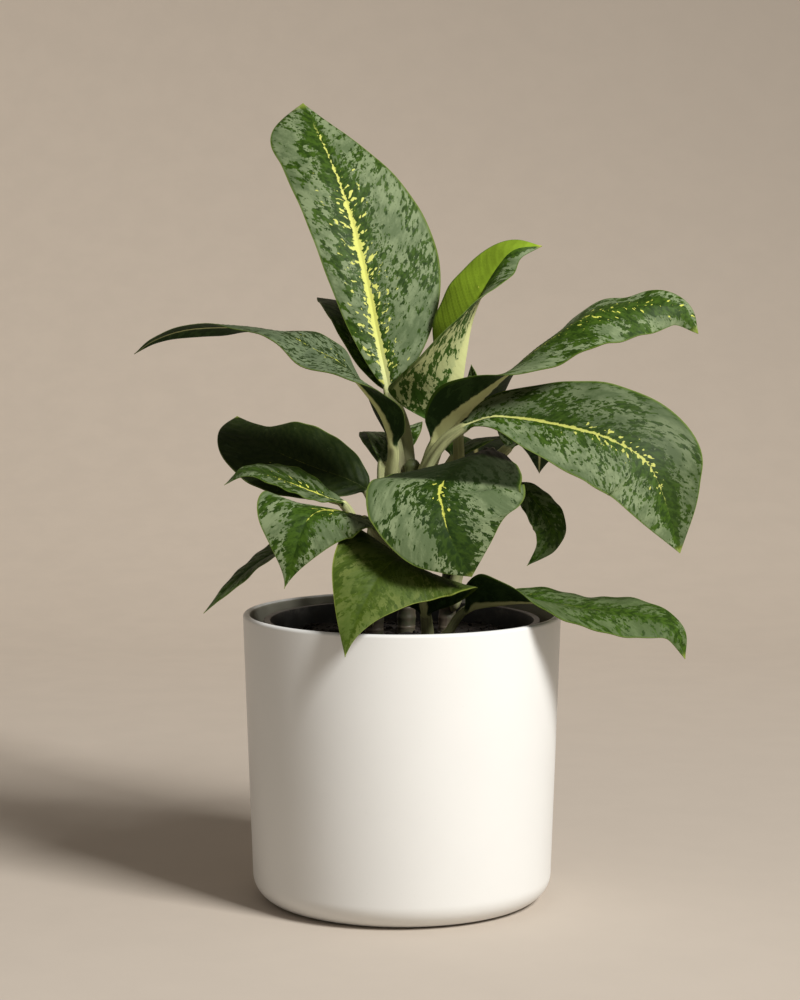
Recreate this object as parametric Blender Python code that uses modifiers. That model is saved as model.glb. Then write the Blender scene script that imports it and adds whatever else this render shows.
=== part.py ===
# Potted Chinese evergreen: a young Aglaonema with silver mottled leaves in a nursery pot,
# standing in a plain white ceramic cover pot.
# Metres, +Z up. The origin is the centre of the ceramic pot's underside, and the plant's
# front is towards -Y. Sizes and places below are in millimetres and are scaled once, when a
# mesh is made.
import math

import bpy
import bmesh
from mathutils import Vector, noise

OBJECT_NAME = "potted_chinese_evergreen"
MM = 0.001
CLEARANCE = 0.3                # between pieces that touch
MERGE = 0.00001                # metres, for the seams of turned shapes

# Ceramic cover pot: straight tapered wall, rounded foot, thin rounded lip
POT_HEIGHT = 136.0
POT_RIM_RADIUS = 75.0
POT_FOOT_RADIUS = 70.4         # where the wall would meet the floor line
POT_CORNER = 12.0              # outer rounding at the foot
POT_WALL = 3.4
POT_FLOOR = 5.0
POT_INNER_CORNER = 8.0
POT_SIDES = 48

# Nursery pot that stands inside the cover pot
NURSERY_TOP = 132.8            # just below the cover pot's lip
NURSERY_RIM_RADIUS = 65.2
NURSERY_FOOT_RADIUS = 50.0
NURSERY_WALL = 1.4
NURSERY_LIP_HEIGHT = 6.0
NURSERY_LIP_OUT = 1.6          # how far the lip stands out from the wall
NURSERY_EDGE = 0.5             # small bevel along the lip
NURSERY_SIDES = 36
DRAIN_HOLES = 6
DRAIN_RADIUS = 4.0
DRAIN_CIRCLE = 36.0
DRAIN_SIDES = 10
DRAIN_CUT = 6.0                # height of the cutters

# Potting soil
SOIL_TOP = 123.5
SOIL_MOUND = 2.0
SOIL_CRUMB = 1.3               # height of the crumbs
SOIL_COARSE = 0.11             # crumb pattern, turns per millimetre
SOIL_FINE = 0.27
SOIL_RINGS = 8
HOLE_DEPTH = 22.0              # stems stand this deep in the soil
HOLE_SIDES = 12
HOLE_CUT = 40.0                # height of the cutters

# Blades and stalks
BLADE_THICKNESS = 0.8
BLADE_COLUMNS = (0.0, 0.12, 0.56, 1.0)        # share of a half blade, from midrib to margin
BLADE_STATIONS = (0.0, 0.02, 0.06, 0.13, 0.22, 0.33, 0.45, 0.57, 0.69, 0.80, 0.90, 0.96, 1.0)
STALK_STATIONS = 6
STALK_FOOT_RADIUS = 3.0
STALK_NECK_RADIUS = 2.4
STALK_RISES = (0.0, 9.0, 18.0) # heights over the foot where a stalk lies along its cane
SPLINE_STEPS = 12              # samples between two given points of a spine
SPINE_REACH = 2.5              # half the stretch that gives a spine's direction
NECK_SHARE = 0.05              # part of the blade where the round stalk flattens
LEAST_HALF = 0.45              # half width at the very tip
NARROW_HALF = 4.0              # narrower than this, the thickness leans less with the slope
BASE_ROUNDING = 0.72           # under 1 is a blunter base
TIP_ROUNDING = 2.2             # over 1 is a fuller blade towards the tip
RIDGE_HEIGHT = 1.5             # midrib under the blade, at its base
RIDGE_FADE = 1.3
WAVE_SHIFT = 0.37              # how far the right margin's wave runs ahead, in waves
SMOOTH_ANGLE = 50

# Canes: centre line and radius, from the planted end to the top
CANES = {
    "cane_main": {"line": [(2, 6, 101.5), (2, 6, 126), (3, 6, 165), (5, 7, 208)], "radius": (4.6, 3.4)},
    "cane_left": {"line": [(-13, -3, 101.5), (-13, -3, 126), (-13, -3, 150), (-12, -2, 172)],
                  "radius": (4.8, 3.6)},
    "cane_right": {"line": [(21, 6, 101.5), (21, 6, 126), (23, 6, 155), (26, 6, 186)], "radius": (4.4, 3.4)},
}
CANE_NODE_PITCH = 9.0          # between two leaf scars
CANE_NODE_SWELL = 0.35
CANE_HOLE_MARGIN = 0.2         # room for the cane's taper in its hole

# Leaves. foot: the cane that carries the leaf, the height of the sheath's lower end and its
# place round the cane in degrees, or "soil" and a place there. stalk and rib: points of the
# centre line, up to and from the start of the blade. face: which way the upper side looks, at
# shares of the blade's length. Pairs of values are for the halves left and right of the midrib,
# seen from above with the tip ahead. half: greatest width. peak: where along the blade it lies.
# taper: 0 for a full tip, 1 for a drawn-out one. foldLeft and foldRight: how steeply the halves
# rise at the base, the middle and the tip, in degrees. curl: how much more they rise at the
# margin. wave: height of the margin's wave, waves per blade and where it starts.
LEAVES = {
    "leaf_crown": {
        "foot": ("cane_main", 186, 147),
        "stalk": [(-5, 13, 224)],
        "rib": [(-6, 12, 239), (-12, 21, 267), (-18, 31, 296), (-25, 41, 323), (-32, 50, 343),
                (-40, 64, 361), (-49, 82, 379)],
        "face": [(0.0, (0.1, -1.0, 0.2)), (0.5, (0.2, -0.95, 0.35)), (1.0, (0.1, -0.6, 0.8))],
        "half": (23.5, 37), "peak": (0.78, 0.42), "taper": (-0.7, 0.5),
        "foldLeft": (20, 14, 0), "foldRight": (18, 6, 4), "curl": (-30, -10),
        "wave": (1.0, 2.0, 0.2),
    },
    "leaf_upper_right": {
        "foot": ("cane_main", 176, 25),
        "stalk": [(15, 9, 207)],
        "rib": [(20, 3, 221), (26, -1, 240), (29, -2, 257), (32, 0, 272), (37, 3, 285),
                (45, 8, 298), (53, 10, 306), (66, 12, 308)],
        "face": [(0.0, (-1.0, 0.1, 0.3)), (0.5, (-0.85, -0.3, 0.6)), (1.0, (-0.3, -0.6, 0.8))],
        "half": (25, 34), "peak": (0.45, 0.16), "taper": (0.3, 0.5),
        "foldLeft": (18, 26, 10), "foldRight": (92, 34, -36), "curl": (-10, -10),
        "wave": (0.6, 2.0, 0.0),
    },
    "leaf_upper_left": {
        "foot": ("cane_main", 168, 246),
        "stalk": [(-5, -5, 198)],
        "rib": [(-4, -9, 214), (-9, -12, 230), (-18, -16, 243), (-28, -20, 254), (-41, -22, 261),
                (-55, -22, 268), (-75, -20, 271), (-98, -17, 270), (-114, -14, 265), (-124, -12, 258)],
        "face": [(0.0, (0.7, 0.5, 0.5)), (0.42, (0.1, -0.38, 0.92)), (0.58, (0.0, 0.06, 1.0)),
                 (0.8, (0.05, 0.3, 0.95)), (1.0, (0.0, 0.35, 0.9))],
        "half": (23, 21), "peak": (0.33, 0.33), "taper": (0.45, 0.45),
        "foldLeft": (22, 0, -8), "foldRight": (25, 0, -8), "curl": (-8, -8),
        "wave": (1.0, 2.5, 0.3),
    },
    "leaf_behind_crown": {
        "foot": ("cane_main", 178, 92),
        "stalk": [(1, 19, 222)],
        "rib": [(-5, 22, 238), (-12, 30, 255), (-19, 43, 272), (-23, 61, 279), (-26, 82, 277),
                (-28, 98, 265)],
        "face": [(0.0, (0.2, -0.9, 0.4)), (0.5, (0.2, -0.6, 0.8)), (1.0, (0.1, 0.1, 0.9))],
        "half": (18, 18), "peak": (0.5, 0.45), "taper": (-0.6, -0.2),
        "foldLeft": (22, 12, 6), "foldRight": (22, 12, 6), "curl": (-12, -12),
        "wave": (1.2, 2.0, 0.6),
    },
    "leaf_back_left": {
        "foot": ("cane_main", 156, 200),
        "stalk": [(-8, 6, 191)],
        "rib": [(-9, 16, 205), (-6, 30, 215), (-5, 48, 217), (-5, 66, 207), (-7, 84, 189)],
        "face": [(0.0, (0.3, -0.7, 0.7)), (0.5, (-0.2, -0.1, 1.0)), (1.0, (-0.2, 0.6, 0.6))],
        "half": (16, 16), "peak": (0.42, 0.42), "taper": (0.7, 0.7),
        "foldLeft": (22, 12, 6), "foldRight": (22, 12, 6), "curl": (-12, -12),
        "wave": (1.0, 2.0, 0.1),
    },
    "leaf_upper_right_long": {
        "foot": ("cane_main", 184, 334),
        "stalk": [(13, 1, 207)],
        "rib": [(15, -2, 215), (19, -5, 221), (25, -7, 228), (34, -8, 236), (50, -8, 250), (67, -6, 263),
                (89, -3, 276), (112, 0, 280), (129, 2, 278), (139, 4, 267)],
        "face": [(0.0, (-0.5, 0.6, 0.6)), (0.5, (-0.2, -0.2, 0.95)), (0.75, (0.0, -0.45, 0.9)),
                 (0.9, (0.15, -0.85, 0.5)), (1.0, (0.2, -0.95, 0.3))],
        "half": (18, 24), "peak": (0.40, 0.30), "taper": (-0.7, -0.3),
        "foldLeft": (-12, -12, -6), "foldRight": (55, -12, -6), "curl": (-8, -8),
        "wave": (1.0, 2.5, 0.5),
    },
    "leaf_right_broad": {
        "foot": ("cane_main", 148, 292),
        "stalk": [(8, -8, 186), (10, -10, 202), (18, -13, 216)],
        "rib": [(28, -16, 224), (40, -18, 229), (52, -20, 229), (67, -25, 227), (82, -30, 224),
                (97, -34, 219), (111, -37, 210), (119, -38, 194), (127, -36, 168)],
        "face": [(0.0, (-0.3, -0.6, 0.8)), (0.5, (0.0, -0.75, 0.65)), (1.0, (0.5, -0.8, 0.2))],
        "half": (31, 25), "peak": (0.60, 0.64), "taper": (0.2, 0.3),
        "foldLeft": (10, 4, 4), "foldRight": (30, -4, 4), "curl": (-8, -8),
        "wave": (0.8, 2.0, 0.4),
    },
    "leaf_centre_front": {
        "foot": ("cane_right", 152, 345),
        "stalk": [(38, 0, 200)],
        "rib": [(41, -8, 213), (32, -24, 211), (23, -42, 206), (17, -56, 199), (18, -65, 191),
                (21, -69, 180), (26, -69, 170), (31, -67, 161)],
        "face": [(0.0, (0.0, 0.0, 1.0)), (0.42, (-0.1, -0.25, 0.95)), (0.71, (0.0, -1.0, 0.25)),
                 (1.0, (0.0, -1.0, 0.1))],
        "half": (38, 33), "peak": (0.64, 0.61), "taper": (0.3, 0.3),
        "foldLeft": (-8, 2, 4), "foldRight": (-24, 0, 4), "curl": (-6, -6),
        "wave": (0.6, 2.0, 0.0),
    },
    "leaf_lower_left": {
        "foot": ("cane_left", 138, 308),
        "stalk": [(-10, -13, 172)],
        "rib": [(-16, -20, 182), (-25, -28, 186), (-33, -37, 188), (-40, -46, 187), (-44, -51, 182),
                (-48, -54, 171), (-53, -54, 154)],
        "face": [(0.0, (0.1, -0.1, 1.0)), (0.35, (0.0, -0.3, 0.95)), (0.62, (-0.1, -1.0, 0.3)),
                 (1.0, (-0.1, -1.0, 0.1))],
        "half": (26, 27), "peak": (0.34, 0.48), "taper": (0.8, 0.9),
        "foldLeft": (-5, 2, 4), "foldRight": (-22, 0, 4), "curl": (-6, -6),
        "wave": (0.8, 2.0, 0.3),
    },
    "leaf_left_middle": {
        "foot": ("cane_left", 146, 190),
        "stalk": [(-22, -4, 178)],
        "rib": [(-27, -3, 187), (-34, -6, 190), (-43, -9, 194), (-54, -13, 199), (-64, -17, 203),
                (-73, -20, 204), (-82, -22, 198)],
        "face": [(0.0, (0.3, -0.3, 0.9)), (0.5, (0.2, -0.35, 0.9)), (1.0, (-0.2, -0.2, 1.0))],
        "half": (17, 17), "peak": (0.42, 0.42), "taper": (0.6, 0.6),
        "foldLeft": (30, 12, 0), "foldRight": (15, 6, 0), "curl": (-10, -10),
        "wave": (0.8, 2.0, 0.2),
    },
    "leaf_left_broad": {
        "foot": ("cane_left", 144, 110),
        "stalk": [(-13, 6, 180)],
        "rib": [(-16, 10, 192), (-26, 12, 198), (-41, 16, 203), (-57, 20, 209), (-70, 25, 215),
                (-77, 32, 221), (-80, 42, 226)],
        "face": [(0.0, (0.3, -0.8, 0.5)), (0.5, (0.3, -0.8, 0.5)), (1.0, (0.0, -0.5, 0.85))],
        "half": (23, 22), "peak": (0.60, 0.50), "taper": (0.2, 0.3),
        "foldLeft": (12, 6, 4), "foldRight": (12, 4, 0), "curl": (-10, -10),
        "wave": (0.1, 2.0, 0.7),
    },
    "leaf_low_left": {
        "foot": ("cane_left", 130, 252),
        "stalk": [(-19, -12, 162)],
        "rib": [(-27, -14, 172), (-37, -18, 173), (-53, -23, 169), (-67, -28, 162), (-80, -32, 151),
                (-91, -34, 140)],
        "face": [(0.0, (-0.1, -0.3, 1.0)), (0.5, (-0.55, -0.22, 0.80)), (1.0, (-0.55, -0.3, 0.75))],
        "half": (13, 13), "peak": (0.42, 0.42), "taper": (0.6, 0.6),
        "foldLeft": (18, 10, 6), "foldRight": (18, 10, 6), "curl": (-10, -10),
        "wave": (0.8, 2.0, 0.2),
    },
    "leaf_front": {
        "foot": ("soil", (12, -19), 0),
        "stalk": [(12, -20, 128)],
        "rib": [(11, -25, 138), (8, -32, 151), (4, -40, 162), (-2, -50, 167), (-10, -61, 161),
                (-17, -72, 149), (-22, -81, 138), (-25, -87, 128)],
        "face": [(0.0, (0.3, 0.8, 0.4)), (0.5, (0.45, -0.2, 0.87)), (1.0, (-0.3, -0.8, 0.6))],
        "half": (34, 28), "peak": (0.30, 0.34), "taper": (0.9, 0.5),
        "foldLeft": (12, 4, 4), "foldRight": (12, 2, 4), "curl": (-8, -8),
        "wave": (0.8, 2.0, 0.1),
    },
    "leaf_right_low": {
        "foot": ("soil", (20, -15), 0),
        "stalk": [(21, -17, 128)],
        "rib": [(29, -22, 140), (45, -27, 144), (63, -30, 145), (86, -33, 142), (109, -35, 139),
                (124, -36, 133), (130, -35, 119)],
        "face": [(0.0, (-0.2, -0.1, 1.0)), (0.5, (0.0, -0.3, 1.0)), (1.0, (0.35, -0.6, 0.75))],
        "half": (19, 25), "peak": (0.45, 0.24), "taper": (-0.3, 0.2),
        "foldLeft": (15, -2, 0), "foldRight": (85, 4, 0), "curl": (-8, -8),
        "wave": (1.0, 2.5, 0.6),
    },
    "leaf_dark_middle": {
        "foot": ("cane_right", 158, 150),
        "stalk": [(17, 17, 192)],
        "rib": [(25, 24, 207), (30, 34, 213), (35, 46, 214), (37, 65, 206), (39, 82, 191)],
        "face": [(0.0, (-0.1, -0.4, 0.9)), (0.5, (0.0, -0.2, 0.95)), (1.0, (0.2, 0.4, 0.8))],
        "half": (20, 20), "peak": (0.42, 0.42), "taper": (0.6, 0.6),
        "foldLeft": (20, 10, 6), "foldRight": (20, 10, 6), "curl": (-10, -10),
        "wave": (1.0, 2.0, 0.4),
    },
    "leaf_right_drooping": {
        "foot": ("cane_right", 136, 296),
        "stalk": [(36, -6, 178), (44, -6, 190)],
        "rib": [(50, -5, 195), (57, -8, 194), (64, -12, 187), (69, -15, 178), (67, -17, 169),
                (58, -18, 160)],
        "face": [(0.0, (0.0, -0.6, 0.8)), (0.5, (0.5, -0.85, 0.3)), (1.0, (0.3, -0.9, -0.3))],
        "half": (9, 10), "peak": (0.45, 0.50), "taper": (0.6, 0.6),
        "foldLeft": (12, 8, 4), "foldRight": (12, 8, 4), "curl": (-10, -10),
        "wave": (0.6, 2.0, 0.2),
    },
    "leaf_young": {
        "foot": ("cane_right", 167, 98),
        "stalk": [(27, 15, 205)],
        "rib": [(27, 15, 221), (31, 17, 231), (34, 19, 240), (34, 20, 246), (33, 20, 252)],
        "face": [(0.0, (-0.7, -0.7, 0.2)), (0.5, (-0.7, -0.7, 0.2)), (1.0, (-0.7, -0.7, 0.2))],
        "half": (9, 9), "peak": (0.42, 0.42), "taper": (0.5, 0.5),
        "foldLeft": (30, 22, 12), "foldRight": (30, 22, 12), "curl": (-10, -10),
        "wave": (0.4, 2.0, 0.2),
    },
    "leaf_back_right": {
        "foot": ("cane_right", 164, 45),
        "stalk": [(40, 13, 202)],
        "rib": [(50, 17, 212), (58, 30, 218), (64, 46, 217), (68, 64, 209), (69, 80, 195)],
        "face": [(0.0, (-0.2, -0.5, 0.8)), (0.5, (0.0, -0.1, 1.0)), (1.0, (0.2, 0.5, 0.8))],
        "half": (16, 17), "peak": (0.42, 0.42), "taper": (0.6, 0.6),
        "foldLeft": (20, 10, 6), "foldRight": (20, 10, 6), "curl": (-10, -10),
        "wave": (1.0, 2.0, 0.8),
    },
}

# Colour, roughness and metallic value of each material
FINISHES = {
    "glazed_ceramic": ((0.80, 0.77, 0.71), 0.35, 0.0),
    "dark_plastic": ((0.03, 0.03, 0.03), 0.5, 0.0),
    "potting_soil": ((0.02, 0.013, 0.009), 0.95, 0.0),
    "cane_skin": ((0.30, 0.32, 0.18), 0.55, 0.0),
    "silver_leaf": ((0.12, 0.24, 0.09), 0.40, 0.0),
}


# Scene helpers

def clearScene():
    for item in list(bpy.data.objects):
        bpy.data.objects.remove(item, do_unlink=True)


def makeCollection(name):
    collection = bpy.data.collections.new(name)
    bpy.context.scene.collection.children.link(collection)
    return collection


def makeMaterial(name, finish):
    colour, roughness, metallic = FINISHES[finish]
    material = bpy.data.materials.new(name)
    material.use_nodes = True
    shader = material.node_tree.nodes["Principled BSDF"]
    shader.inputs["Base Color"].default_value = (*colour, 1.0)
    shader.inputs["Roughness"].default_value = roughness
    shader.inputs["Metallic"].default_value = metallic
    material.diffuse_color = (*colour, 1.0)
    return material


def addObject(name, data, collection, finish=None):
    item = bpy.data.objects.new(name, data)
    collection.objects.link(item)
    if finish:
        data.materials.append(makeMaterial(name + "_finish", finish))
    return item


def smoothShade(mesh, degrees):
    mesh.shade_smooth()
    mesh.set_sharp_from_angle(angle=math.radians(degrees))


# Turned pieces

def arc(centreX, centreZ, radius, start, end, steps):
    # points of an arc in the profile's plane, angles in degrees
    angles = [math.radians(start + (end - start) * i / steps) for i in range(steps + 1)]
    return [(centreX + radius * math.cos(a), centreZ + radius * math.sin(a)) for a in angles]


def turnedObject(name, profile, sides, collection, finish):
    # profile: (radius, height) points that end on the axis at both ends
    mesh = bpy.data.meshes.new(name)
    points = [(radius * MM, 0.0, height * MM) for radius, height in profile]
    mesh.from_pydata(points, [(i, i + 1) for i in range(len(points) - 1)], [])
    item = addObject(name, mesh, collection, finish)
    turn = item.modifiers.new("turn", "SCREW")
    turn.axis = "Z"
    turn.steps = sides
    turn.render_steps = sides
    turn.use_merge_vertices = True
    turn.merge_threshold = MERGE
    turn.use_smooth_shade = True
    return item


def wallRadius(height):
    # outer radius of the cover pot's tapered wall
    return POT_FOOT_RADIUS + (POT_RIM_RADIUS - POT_FOOT_RADIUS) * height / POT_HEIGHT


def makePot(collection):
    lip = POT_WALL / 2
    lipCentre = wallRadius(POT_HEIGHT) - lip
    footCentre = wallRadius(POT_CORNER) - POT_CORNER
    innerCentre = wallRadius(POT_FLOOR + POT_INNER_CORNER) - POT_WALL - POT_INNER_CORNER
    profile = [(0.0, POT_FLOOR)]
    profile += arc(innerCentre, POT_FLOOR + POT_INNER_CORNER, POT_INNER_CORNER, -90, 0, 3)
    profile += arc(lipCentre, POT_HEIGHT - lip, lip, 180, 0, 6)
    profile += arc(footCentre, POT_CORNER, POT_CORNER, 0, -90, 7)
    profile += [(0.0, 0.0)]
    return turnedObject("pot", profile, POT_SIDES, collection, "glazed_ceramic")


def makeNurseryPot(collection, cutters):
    bottom = POT_FLOOR + CLEARANCE
    lipBottom = NURSERY_TOP - NURSERY_LIP_HEIGHT
    wallTop = NURSERY_RIM_RADIUS - NURSERY_LIP_OUT
    innerTop = wallTop - NURSERY_WALL
    profile = [
        (0.0, bottom + NURSERY_WALL),
        (NURSERY_FOOT_RADIUS - NURSERY_WALL, bottom + NURSERY_WALL),
        (innerTop, lipBottom),
        (innerTop, NURSERY_TOP - NURSERY_EDGE),
        (innerTop + NURSERY_EDGE, NURSERY_TOP),
        (NURSERY_RIM_RADIUS - NURSERY_EDGE, NURSERY_TOP),
        (NURSERY_RIM_RADIUS, NURSERY_TOP - NURSERY_EDGE),
        (NURSERY_RIM_RADIUS, lipBottom),
        (wallTop, lipBottom - NURSERY_EDGE),
        (NURSERY_FOOT_RADIUS, bottom),
        (0.0, bottom),
    ]
    item = turnedObject("nursery_pot", profile, NURSERY_SIDES, collection, "dark_plastic")
    drains = []
    for i in range(DRAIN_HOLES):
        angle = 2 * math.pi * i / DRAIN_HOLES
        place = (DRAIN_CIRCLE * math.cos(angle), DRAIN_CIRCLE * math.sin(angle), bottom)
        drains.append(cylinderCutter("drain_%d" % i, place, DRAIN_RADIUS, DRAIN_CUT, DRAIN_SIDES, cutters))
    for drain in drains:
        cut = item.modifiers.new("drain", "BOOLEAN")
        cut.operation = "DIFFERENCE"
        cut.object = drain
    return item


def cylinderCutter(name, centre, radius, height, sides, cutters):
    mesh = bpy.data.meshes.new(name)
    work = bmesh.new()
    bmesh.ops.create_cone(work, cap_ends=True, segments=sides, radius1=radius * MM,
                          radius2=radius * MM, depth=height * MM)
    work.to_mesh(mesh)
    work.free()
    item = addObject(name, mesh, cutters)
    item.location = Vector(centre) * MM
    item.hide_render = True
    item.display_type = "WIRE"
    return item


# Soil

def soilHeight(x, y):
    # crumbly top, a little mounded in the middle and level at the wall
    reach = math.hypot(x, y) / (NURSERY_RIM_RADIUS - NURSERY_LIP_OUT)
    mound = SOIL_MOUND * (1.0 - reach * reach)
    coarse = noise.noise(Vector((x, y, 0.0)) * SOIL_COARSE)
    fine = noise.noise(Vector((x, y, 0.0)) * SOIL_FINE)
    return SOIL_TOP + mound + SOIL_CRUMB * (coarse + fine / 2)


def makeSoil(collection):
    bottom = POT_FLOOR + CLEARANCE + NURSERY_WALL + CLEARANCE
    wallTop = NURSERY_RIM_RADIUS - NURSERY_LIP_OUT - NURSERY_WALL - CLEARANCE
    lipBottom = NURSERY_TOP - NURSERY_LIP_HEIGHT
    foot = NURSERY_FOOT_RADIUS - NURSERY_WALL - CLEARANCE
    slope = (wallTop - foot) / (lipBottom - bottom)
    edge = foot + slope * (SOIL_TOP - 2 * SOIL_CRUMB - bottom)
    profile = [(edge * i / SOIL_RINGS, SOIL_TOP) for i in range(SOIL_RINGS + 1)]
    profile += [(foot, bottom), (0.0, bottom)]
    turned = turnedObject("soil_turned", profile, NURSERY_SIDES, collection, None)
    graph = bpy.context.evaluated_depsgraph_get()
    mesh = bpy.data.meshes.new_from_object(turned.evaluated_get(graph))
    bpy.data.objects.remove(turned, do_unlink=True)
    mesh.name = "soil"
    for vertex in mesh.vertices:
        x, y, z = vertex.co / MM
        if z > SOIL_TOP - SOIL_CRUMB and math.hypot(x, y) < edge - CLEARANCE:
            vertex.co.z = soilHeight(x, y) * MM
    return addObject("soil", mesh, collection, "potting_soil")


def plantHole(soil, name, place, radius, cutters):
    # a plain round hole for a cane or a stalk, its flats clear of the stem
    centre = (place[0], place[1], SOIL_TOP - HOLE_DEPTH - CLEARANCE + HOLE_CUT / 2)
    reach = (radius + CLEARANCE) / math.cos(math.pi / HOLE_SIDES)
    cutter = cylinderCutter("hole_" + name, centre, reach, HOLE_CUT, HOLE_SIDES, cutters)
    cut = soil.modifiers.new("hole_" + name, "BOOLEAN")
    cut.operation = "DIFFERENCE"
    cut.object = cutter


# Smooth centre lines

def splinePoint(p0, p1, p2, p3, t):
    # Catmull-Rom point between p1 and p2
    a = 2 * p1
    b = p2 - p0
    c = 2 * p0 - 5 * p1 + 4 * p2 - p3
    d = -p0 + 3 * p1 - 3 * p2 + p3
    return (a + b * t + c * t * t + d * t ** 3) / 2


def splinePath(points):
    # dense points through the given ones, with the length along the line at each
    knots = [Vector(p) for p in points]
    knots = [2 * knots[0] - knots[1]] + knots + [2 * knots[-1] - knots[-2]]
    path = []
    for i in range(1, len(knots) - 2):
        for step in range(SPLINE_STEPS):
            path.append(splinePoint(*knots[i - 1:i + 3], step / SPLINE_STEPS))
    path.append(knots[-2])
    lengths = [0.0]
    for a, b in zip(path, path[1:]):
        lengths.append(lengths[-1] + (b - a).length)
    return path, lengths


def pathPoint(path, lengths, distance):
    for i in range(1, len(path)):
        if lengths[i] >= distance or i == len(path) - 1:
            span = lengths[i] - lengths[i - 1]
            share = (distance - lengths[i - 1]) / span
            return path[i - 1].lerp(path[i], share)


def pathDirection(path, lengths, distance, reach):
    low = max(0.0, distance - reach)
    high = min(lengths[-1], distance + reach)
    return (pathPoint(path, lengths, high) - pathPoint(path, lengths, low)).normalized()


# Canes

def canePlace(name, height):
    # centre and radius of a cane at a height
    cane = CANES[name]
    line = [Vector(p) for p in cane["line"]]
    share = (height - line[0].z) / (line[-1].z - line[0].z)
    radius = cane["radius"][0] + (cane["radius"][1] - cane["radius"][0]) * share
    for low, high in zip(line, line[1:]):
        if height <= high.z or high is line[-1]:
            return low.lerp(high, (height - low.z) / (high.z - low.z)), radius


def makeCane(name, collection):
    line = CANES[name]["line"]
    bottom = line[0][2]
    top = line[-1][2]
    count = round((top - bottom) / (CANE_NODE_PITCH / 2))
    curve = bpy.data.curves.new(name, "CURVE")
    curve.dimensions = "3D"
    curve.bevel_depth = MM
    curve.bevel_resolution = 3
    curve.use_fill_caps = True
    spline = curve.splines.new("POLY")
    spline.points.add(count)
    for i in range(count + 1):
        height = bottom + (top - bottom) * i / count
        centre, radius = canePlace(name, height)
        if i % 2 and height > SOIL_TOP + CANE_NODE_PITCH / 2:
            radius += CANE_NODE_SWELL
        spline.points[i].co = (*(centre * MM), 1.0)
        spline.points[i].radius = radius
    return addObject(name, curve, collection, "cane_skin")


# Leaves

def blend3(values, t):
    # smooth curve through the values at the base, the middle and the tip
    a, b, c = values
    return a * (1 - t) * (1 - 2 * t) + b * 4 * t * (1 - t) + c * t * (2 * t - 1)


def faceAt(faces, t):
    # direction of the upper side, turned evenly between the given ones
    for (low, first), (high, second) in zip(faces, faces[1:]):
        if t <= high:
            share = (t - low) / (high - low)
            share = share * share * (3 - 2 * share)
            return Vector(first).normalized().lerp(Vector(second).normalized(), share)


def bladeWidth(t, peak, taper):
    # share of the full half width: rounded base, widest at the peak, drawn-out tip
    if t < peak:
        return math.sin(math.pi / 2 * (t / peak) ** BASE_ROUNDING)
    fall = (t - peak) / (1 - peak)
    return (1 - taper) * (1 - fall ** TIP_ROUNDING) + taper * (1 - fall * fall * (3 - 2 * fall))


def footPoints(foot):
    kind, level, angle = foot
    if kind == "soil":
        x, y = level
        return [Vector((x, y, SOIL_TOP - HOLE_DEPTH)), Vector((x, y, SOIL_TOP + 3))]
    points = []
    for rise in STALK_RISES:
        centre, radius = canePlace(kind, level + rise)
        away = radius + CANE_NODE_SWELL + STALK_FOOT_RADIUS + CLEARANCE
        side = Vector((math.cos(math.radians(angle)), math.sin(math.radians(angle)), 0.0))
        points.append(centre + side * away)
    return points


def leafFrames(leaf):
    # centre, across and up directions at each station, from the stalk's foot to the tip
    stalk = footPoints(leaf["foot"]) + [Vector(p) for p in leaf["stalk"]]
    path, lengths = splinePath(stalk + [Vector(p) for p in leaf["rib"]])
    start = lengths[len(stalk) * SPLINE_STEPS]
    blade = lengths[-1] - start
    frames = []
    for t in BLADE_STATIONS:
        distance = start + blade * t
        along = pathDirection(path, lengths, distance, SPINE_REACH)
        face = faceAt(leaf["face"], t)
        up = (face - along * face.dot(along)).normalized()
        frames.append((t, pathPoint(path, lengths, distance), along, up))
    up = frames[0][3]
    for i in range(STALK_STATIONS):
        distance = start * (1 - (i + 1) / STALK_STATIONS)
        along = pathDirection(path, lengths, distance, SPINE_REACH)
        up = (up - along * up.dot(along)).normalized()
        share = distance / start
        frames.insert(0, (share - 1.0, pathPoint(path, lengths, distance), along, up))
    return frames


def halfSection(width, fold, curl):
    # (across, rise, slope) of the columns of one half blade
    points = []
    across = rise = 0.0
    last = 0.0
    for column in BLADE_COLUMNS:
        slope = math.radians(fold + curl * (column + last) / 2)
        across += width * (column - last) * math.cos(slope)
        rise += width * (column - last) * math.sin(slope)
        points.append((across, rise, slope if column else 0.0))
        last = column
    return points


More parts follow.
